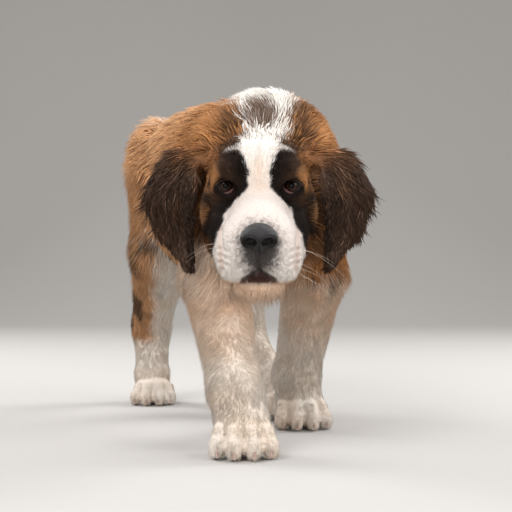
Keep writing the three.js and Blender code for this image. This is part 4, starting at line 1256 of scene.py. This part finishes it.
def make_stage(settings):
    """A pale floor that runs up into a wall behind: level, a quarter circle, then upright; lights; camera."""
    scene = bpy.context.scene
    rows, cols = 80, 40
    run, x = np.meshgrid(np.linspace(0, 1, rows), np.linspace(-5, 5, cols), indexing="ij")
    bend = np.clip((run - 0.6) / 0.2, 0, 1) * np.pi / 2
    y = np.where(run < 0.6, -3.2 + 9.0 * run, 2.2 + 1.3 * np.sin(bend))
    z = 1.3 * (1 - np.cos(bend)) + np.maximum(0, run - 0.8) * 16
    i = np.arange(rows * cols).reshape(rows, cols)
    quads = np.stack([i[:-1, :-1], i[:-1, 1:], i[1:, 1:], i[1:, :-1]], -1).reshape(-1, 4)
    floor = mesh_of("floor", np.stack([x, y, z], -1).reshape(-1, 3) * 1000 + SHIFT * (1, 1, 0), [quads])
    paper = grained("floor_paper", colour=tuple(settings.floor), scale=60, amount=0.03, Roughness=0.85)
    floor.data.materials.append(paper)
    for name, (spot, size, power) in LIGHTS.items():
        data = bpy.data.lights.new(name, "AREA")
        data.shape, data.size, data.energy = "DISK", size, power * settings.light
        obj = bpy.data.objects.new(name, data)
        obj.location = spot
        obj.rotation_euler = look_along(np.array([0, 0, 0.2]) - spot)
        scene.collection.objects.link(obj)
    scene.world = bpy.data.worlds.new("studio")
    scene.world.use_nodes = True
    sky = scene.world.node_tree.nodes["Background"].inputs
    sky["Color"].default_value = (1.0, 0.97, 0.94, 1)
    sky["Strength"].default_value = settings.sky
    scene.view_settings.view_transform = "Standard"
    camera = bpy.data.objects.new("camera", bpy.data.cameras.new("camera"))
    camera.data.sensor_width = 36
    camera.data.lens = 36 * FOCAL_PX / PHOTO_PX
    camera.data.clip_start = 0.05
    camera.location = (CAMERA_AT - SHIFT) / 1000
    camera.rotation_euler = (np.pi / 2 + np.arctan(HORIZON_PX / FOCAL_PX), 0, 0)
    scene.collection.objects.link(camera)
    scene.camera = camera


def look_along(aim):
    """The turn of a light that shines along aim: tip from straight down, then turn about the upright."""
    flat = np.hypot(aim[0], aim[1])
    return (np.arctan2(flat, -aim[2]), 0, np.arctan2(-aim[0], aim[1]))


# ---- Add-on ----
class PuppySettings(bpy.types.PropertyGroup):
    skin_grain: bpy.props.FloatProperty(
        name="Skin grain", description="Size of the skin's faces", default=0.0034, min=0.001, max=0.01,
        subtype="DISTANCE", unit="LENGTH",
    )
    coat_density: bpy.props.FloatProperty(
        name="Coat density", description="Share of the full number of tufts", default=1.0, min=0.05, max=1.0,
        subtype="FACTOR",
    )
    coat_length: bpy.props.FloatProperty(
        name="Coat length", description="Length of the tufts, against a puppy's plush coat", default=1.0, min=0.3,
        max=1.5, subtype="FACTOR",
    )
    coat_seed: bpy.props.IntProperty(name="Coat seed", description="Another draw of the tufts' places", default=5)
    iris: bpy.props.FloatVectorProperty(
        name="Iris", description="Colour of the irises", default=(0.045, 0.021, 0.012), size=3, min=0, max=1,
        subtype="COLOR",
    )
    floor: bpy.props.FloatVectorProperty(
        name="Floor", description="Colour of the studio floor", default=(0.50, 0.485, 0.47), size=3, min=0, max=1,
        subtype="COLOR",
    )
    light: bpy.props.FloatProperty(
        name="Light", description="Strength of the studio lights", default=1.0, min=0, max=4, subtype="FACTOR"
    )
    sky: bpy.props.FloatProperty(
        name="Sky", description="Strength of the even light from all round", default=0.45, min=0, max=2,
        subtype="FACTOR",
    )


class PUPPY_OT_skin(bpy.types.Operator):
    """Make the one skin that stands for every node of flesh"""

    bl_idname = "puppy.skin"
    bl_label = "Skin"

    def execute(self, context):
        obj = make_skin(context.scene.puppy)
        hide = grained("skin_hide", scale=500, amount=0.5, bump=0.0012, bump_scale=420, Roughness=0.75,
                       Specular_IOR_Level=0.1)
        nodes = ["torso", "neck", "head", "lower_jaw", "ear_left", "ear_right", "tail"]
        for name in LEG_NAMES:
            upper, lower = ("thigh_", "shank_") if name.startswith("hind") else ("upper_arm_", "forearm_")
            nodes += [upper + name, lower + name, "paw_" + name]
        finish_piece(obj, hide, "brown_fur", *nodes)
        return {"FINISHED"}


class PUPPY_OT_body_coat(bpy.types.Operator):
    """Lay the plush coat of the trunk, neck and tail"""

    bl_idname = "puppy.body_coat"
    bl_label = "Body coat"

    def execute(self, context):
        lay_coat(("trunk_left", "trunk_right", "neck", "crown", "tail"), context.scene.puppy)
        return {"FINISHED"}


class PUPPY_OT_leg_coat(bpy.types.Operator):
    """Lay the coat of the legs and paws"""

    bl_idname = "puppy.leg_coat"
    bl_label = "Leg coat"

    def execute(self, context):
        lay_coat([start + name for start in ("", "paw_") for name in LEG_NAMES], context.scene.puppy)
        return {"FINISHED"}


class PUPPY_OT_head_coat(bpy.types.Operator):
    """Lay the short coat of the head and the long hair of the ears"""

    bl_idname = "puppy.head_coat"
    bl_label = "Head coat"

    def execute(self, context):
        lay_coat(("head", "face", "ear_left", "ear_right"), context.scene.puppy)
        return {"FINISHED"}


class PUPPY_OT_eyes(bpy.types.Operator):
    """Make the eyeballs and the lids round them"""

    bl_idname = "puppy.eyes"
    bl_label = "Eyes and lids"

    def execute(self, context):
        for side in SIDES:
            make_eye(side, context.scene.puppy)
            make_lids(side)
        return {"FINISHED"}


class PUPPY_OT_nose(bpy.types.Operator):
    """Make the leather of the nose with its nostrils, and the whiskers"""

    bl_idname = "puppy.nose"
    bl_label = "Nose and whiskers"

    def execute(self, context):
        make_nose()
        make_whiskers(np.random.default_rng(context.scene.puppy.coat_seed))
        return {"FINISHED"}


class PUPPY_OT_claws(bpy.types.Operator):
    """Make the claws of the four paws"""

    bl_idname = "puppy.claws"
    bl_label = "Claws"

    def execute(self, context):
        for name in LEG_NAMES:
            make_claws(name)
        return {"FINISHED"}


class PUPPY_OT_stage(bpy.types.Operator):
    """Set the floor, the soft lights and the camera"""

    bl_idname = "puppy.stage"
    bl_label = "Stage"

    def execute(self, context):
        make_stage(context.scene.puppy)
        return {"FINISHED"}


OPERATORS = (
    PUPPY_OT_stage, PUPPY_OT_skin, PUPPY_OT_body_coat, PUPPY_OT_leg_coat, PUPPY_OT_head_coat, PUPPY_OT_eyes,
    PUPPY_OT_nose, PUPPY_OT_claws,
)


class PUPPY_PT_panel(bpy.types.Panel):
    bl_idname = "PUPPY_PT_panel"
    bl_label = "Puppy"
    bl_space_type = "VIEW_3D"
    bl_region_type = "UI"
    bl_category = "Puppy"

    def draw(self, context):
        for name in PuppySettings.__annotations__:
            self.layout.prop(context.scene.puppy, name)
        for operator in OPERATORS:
            self.layout.operator(operator.bl_idname)


def register():
    for kind in (PuppySettings, *OPERATORS, PUPPY_PT_panel):
        bpy.utils.register_class(kind)
    bpy.types.Scene.puppy = bpy.props.PointerProperty(type=PuppySettings)


def unregister():
    del bpy.types.Scene.puppy
    for kind in (PUPPY_PT_panel, *reversed(OPERATORS), PuppySettings):
        bpy.utils.unregister_class(kind)


def main():
    """Calls every operator in order."""
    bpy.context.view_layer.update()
    register()
    for operator in OPERATORS:
        group, name = operator.bl_idname.split(".")
        getattr(getattr(bpy.ops, group), name)()


if __name__ == "__main__":
    main()
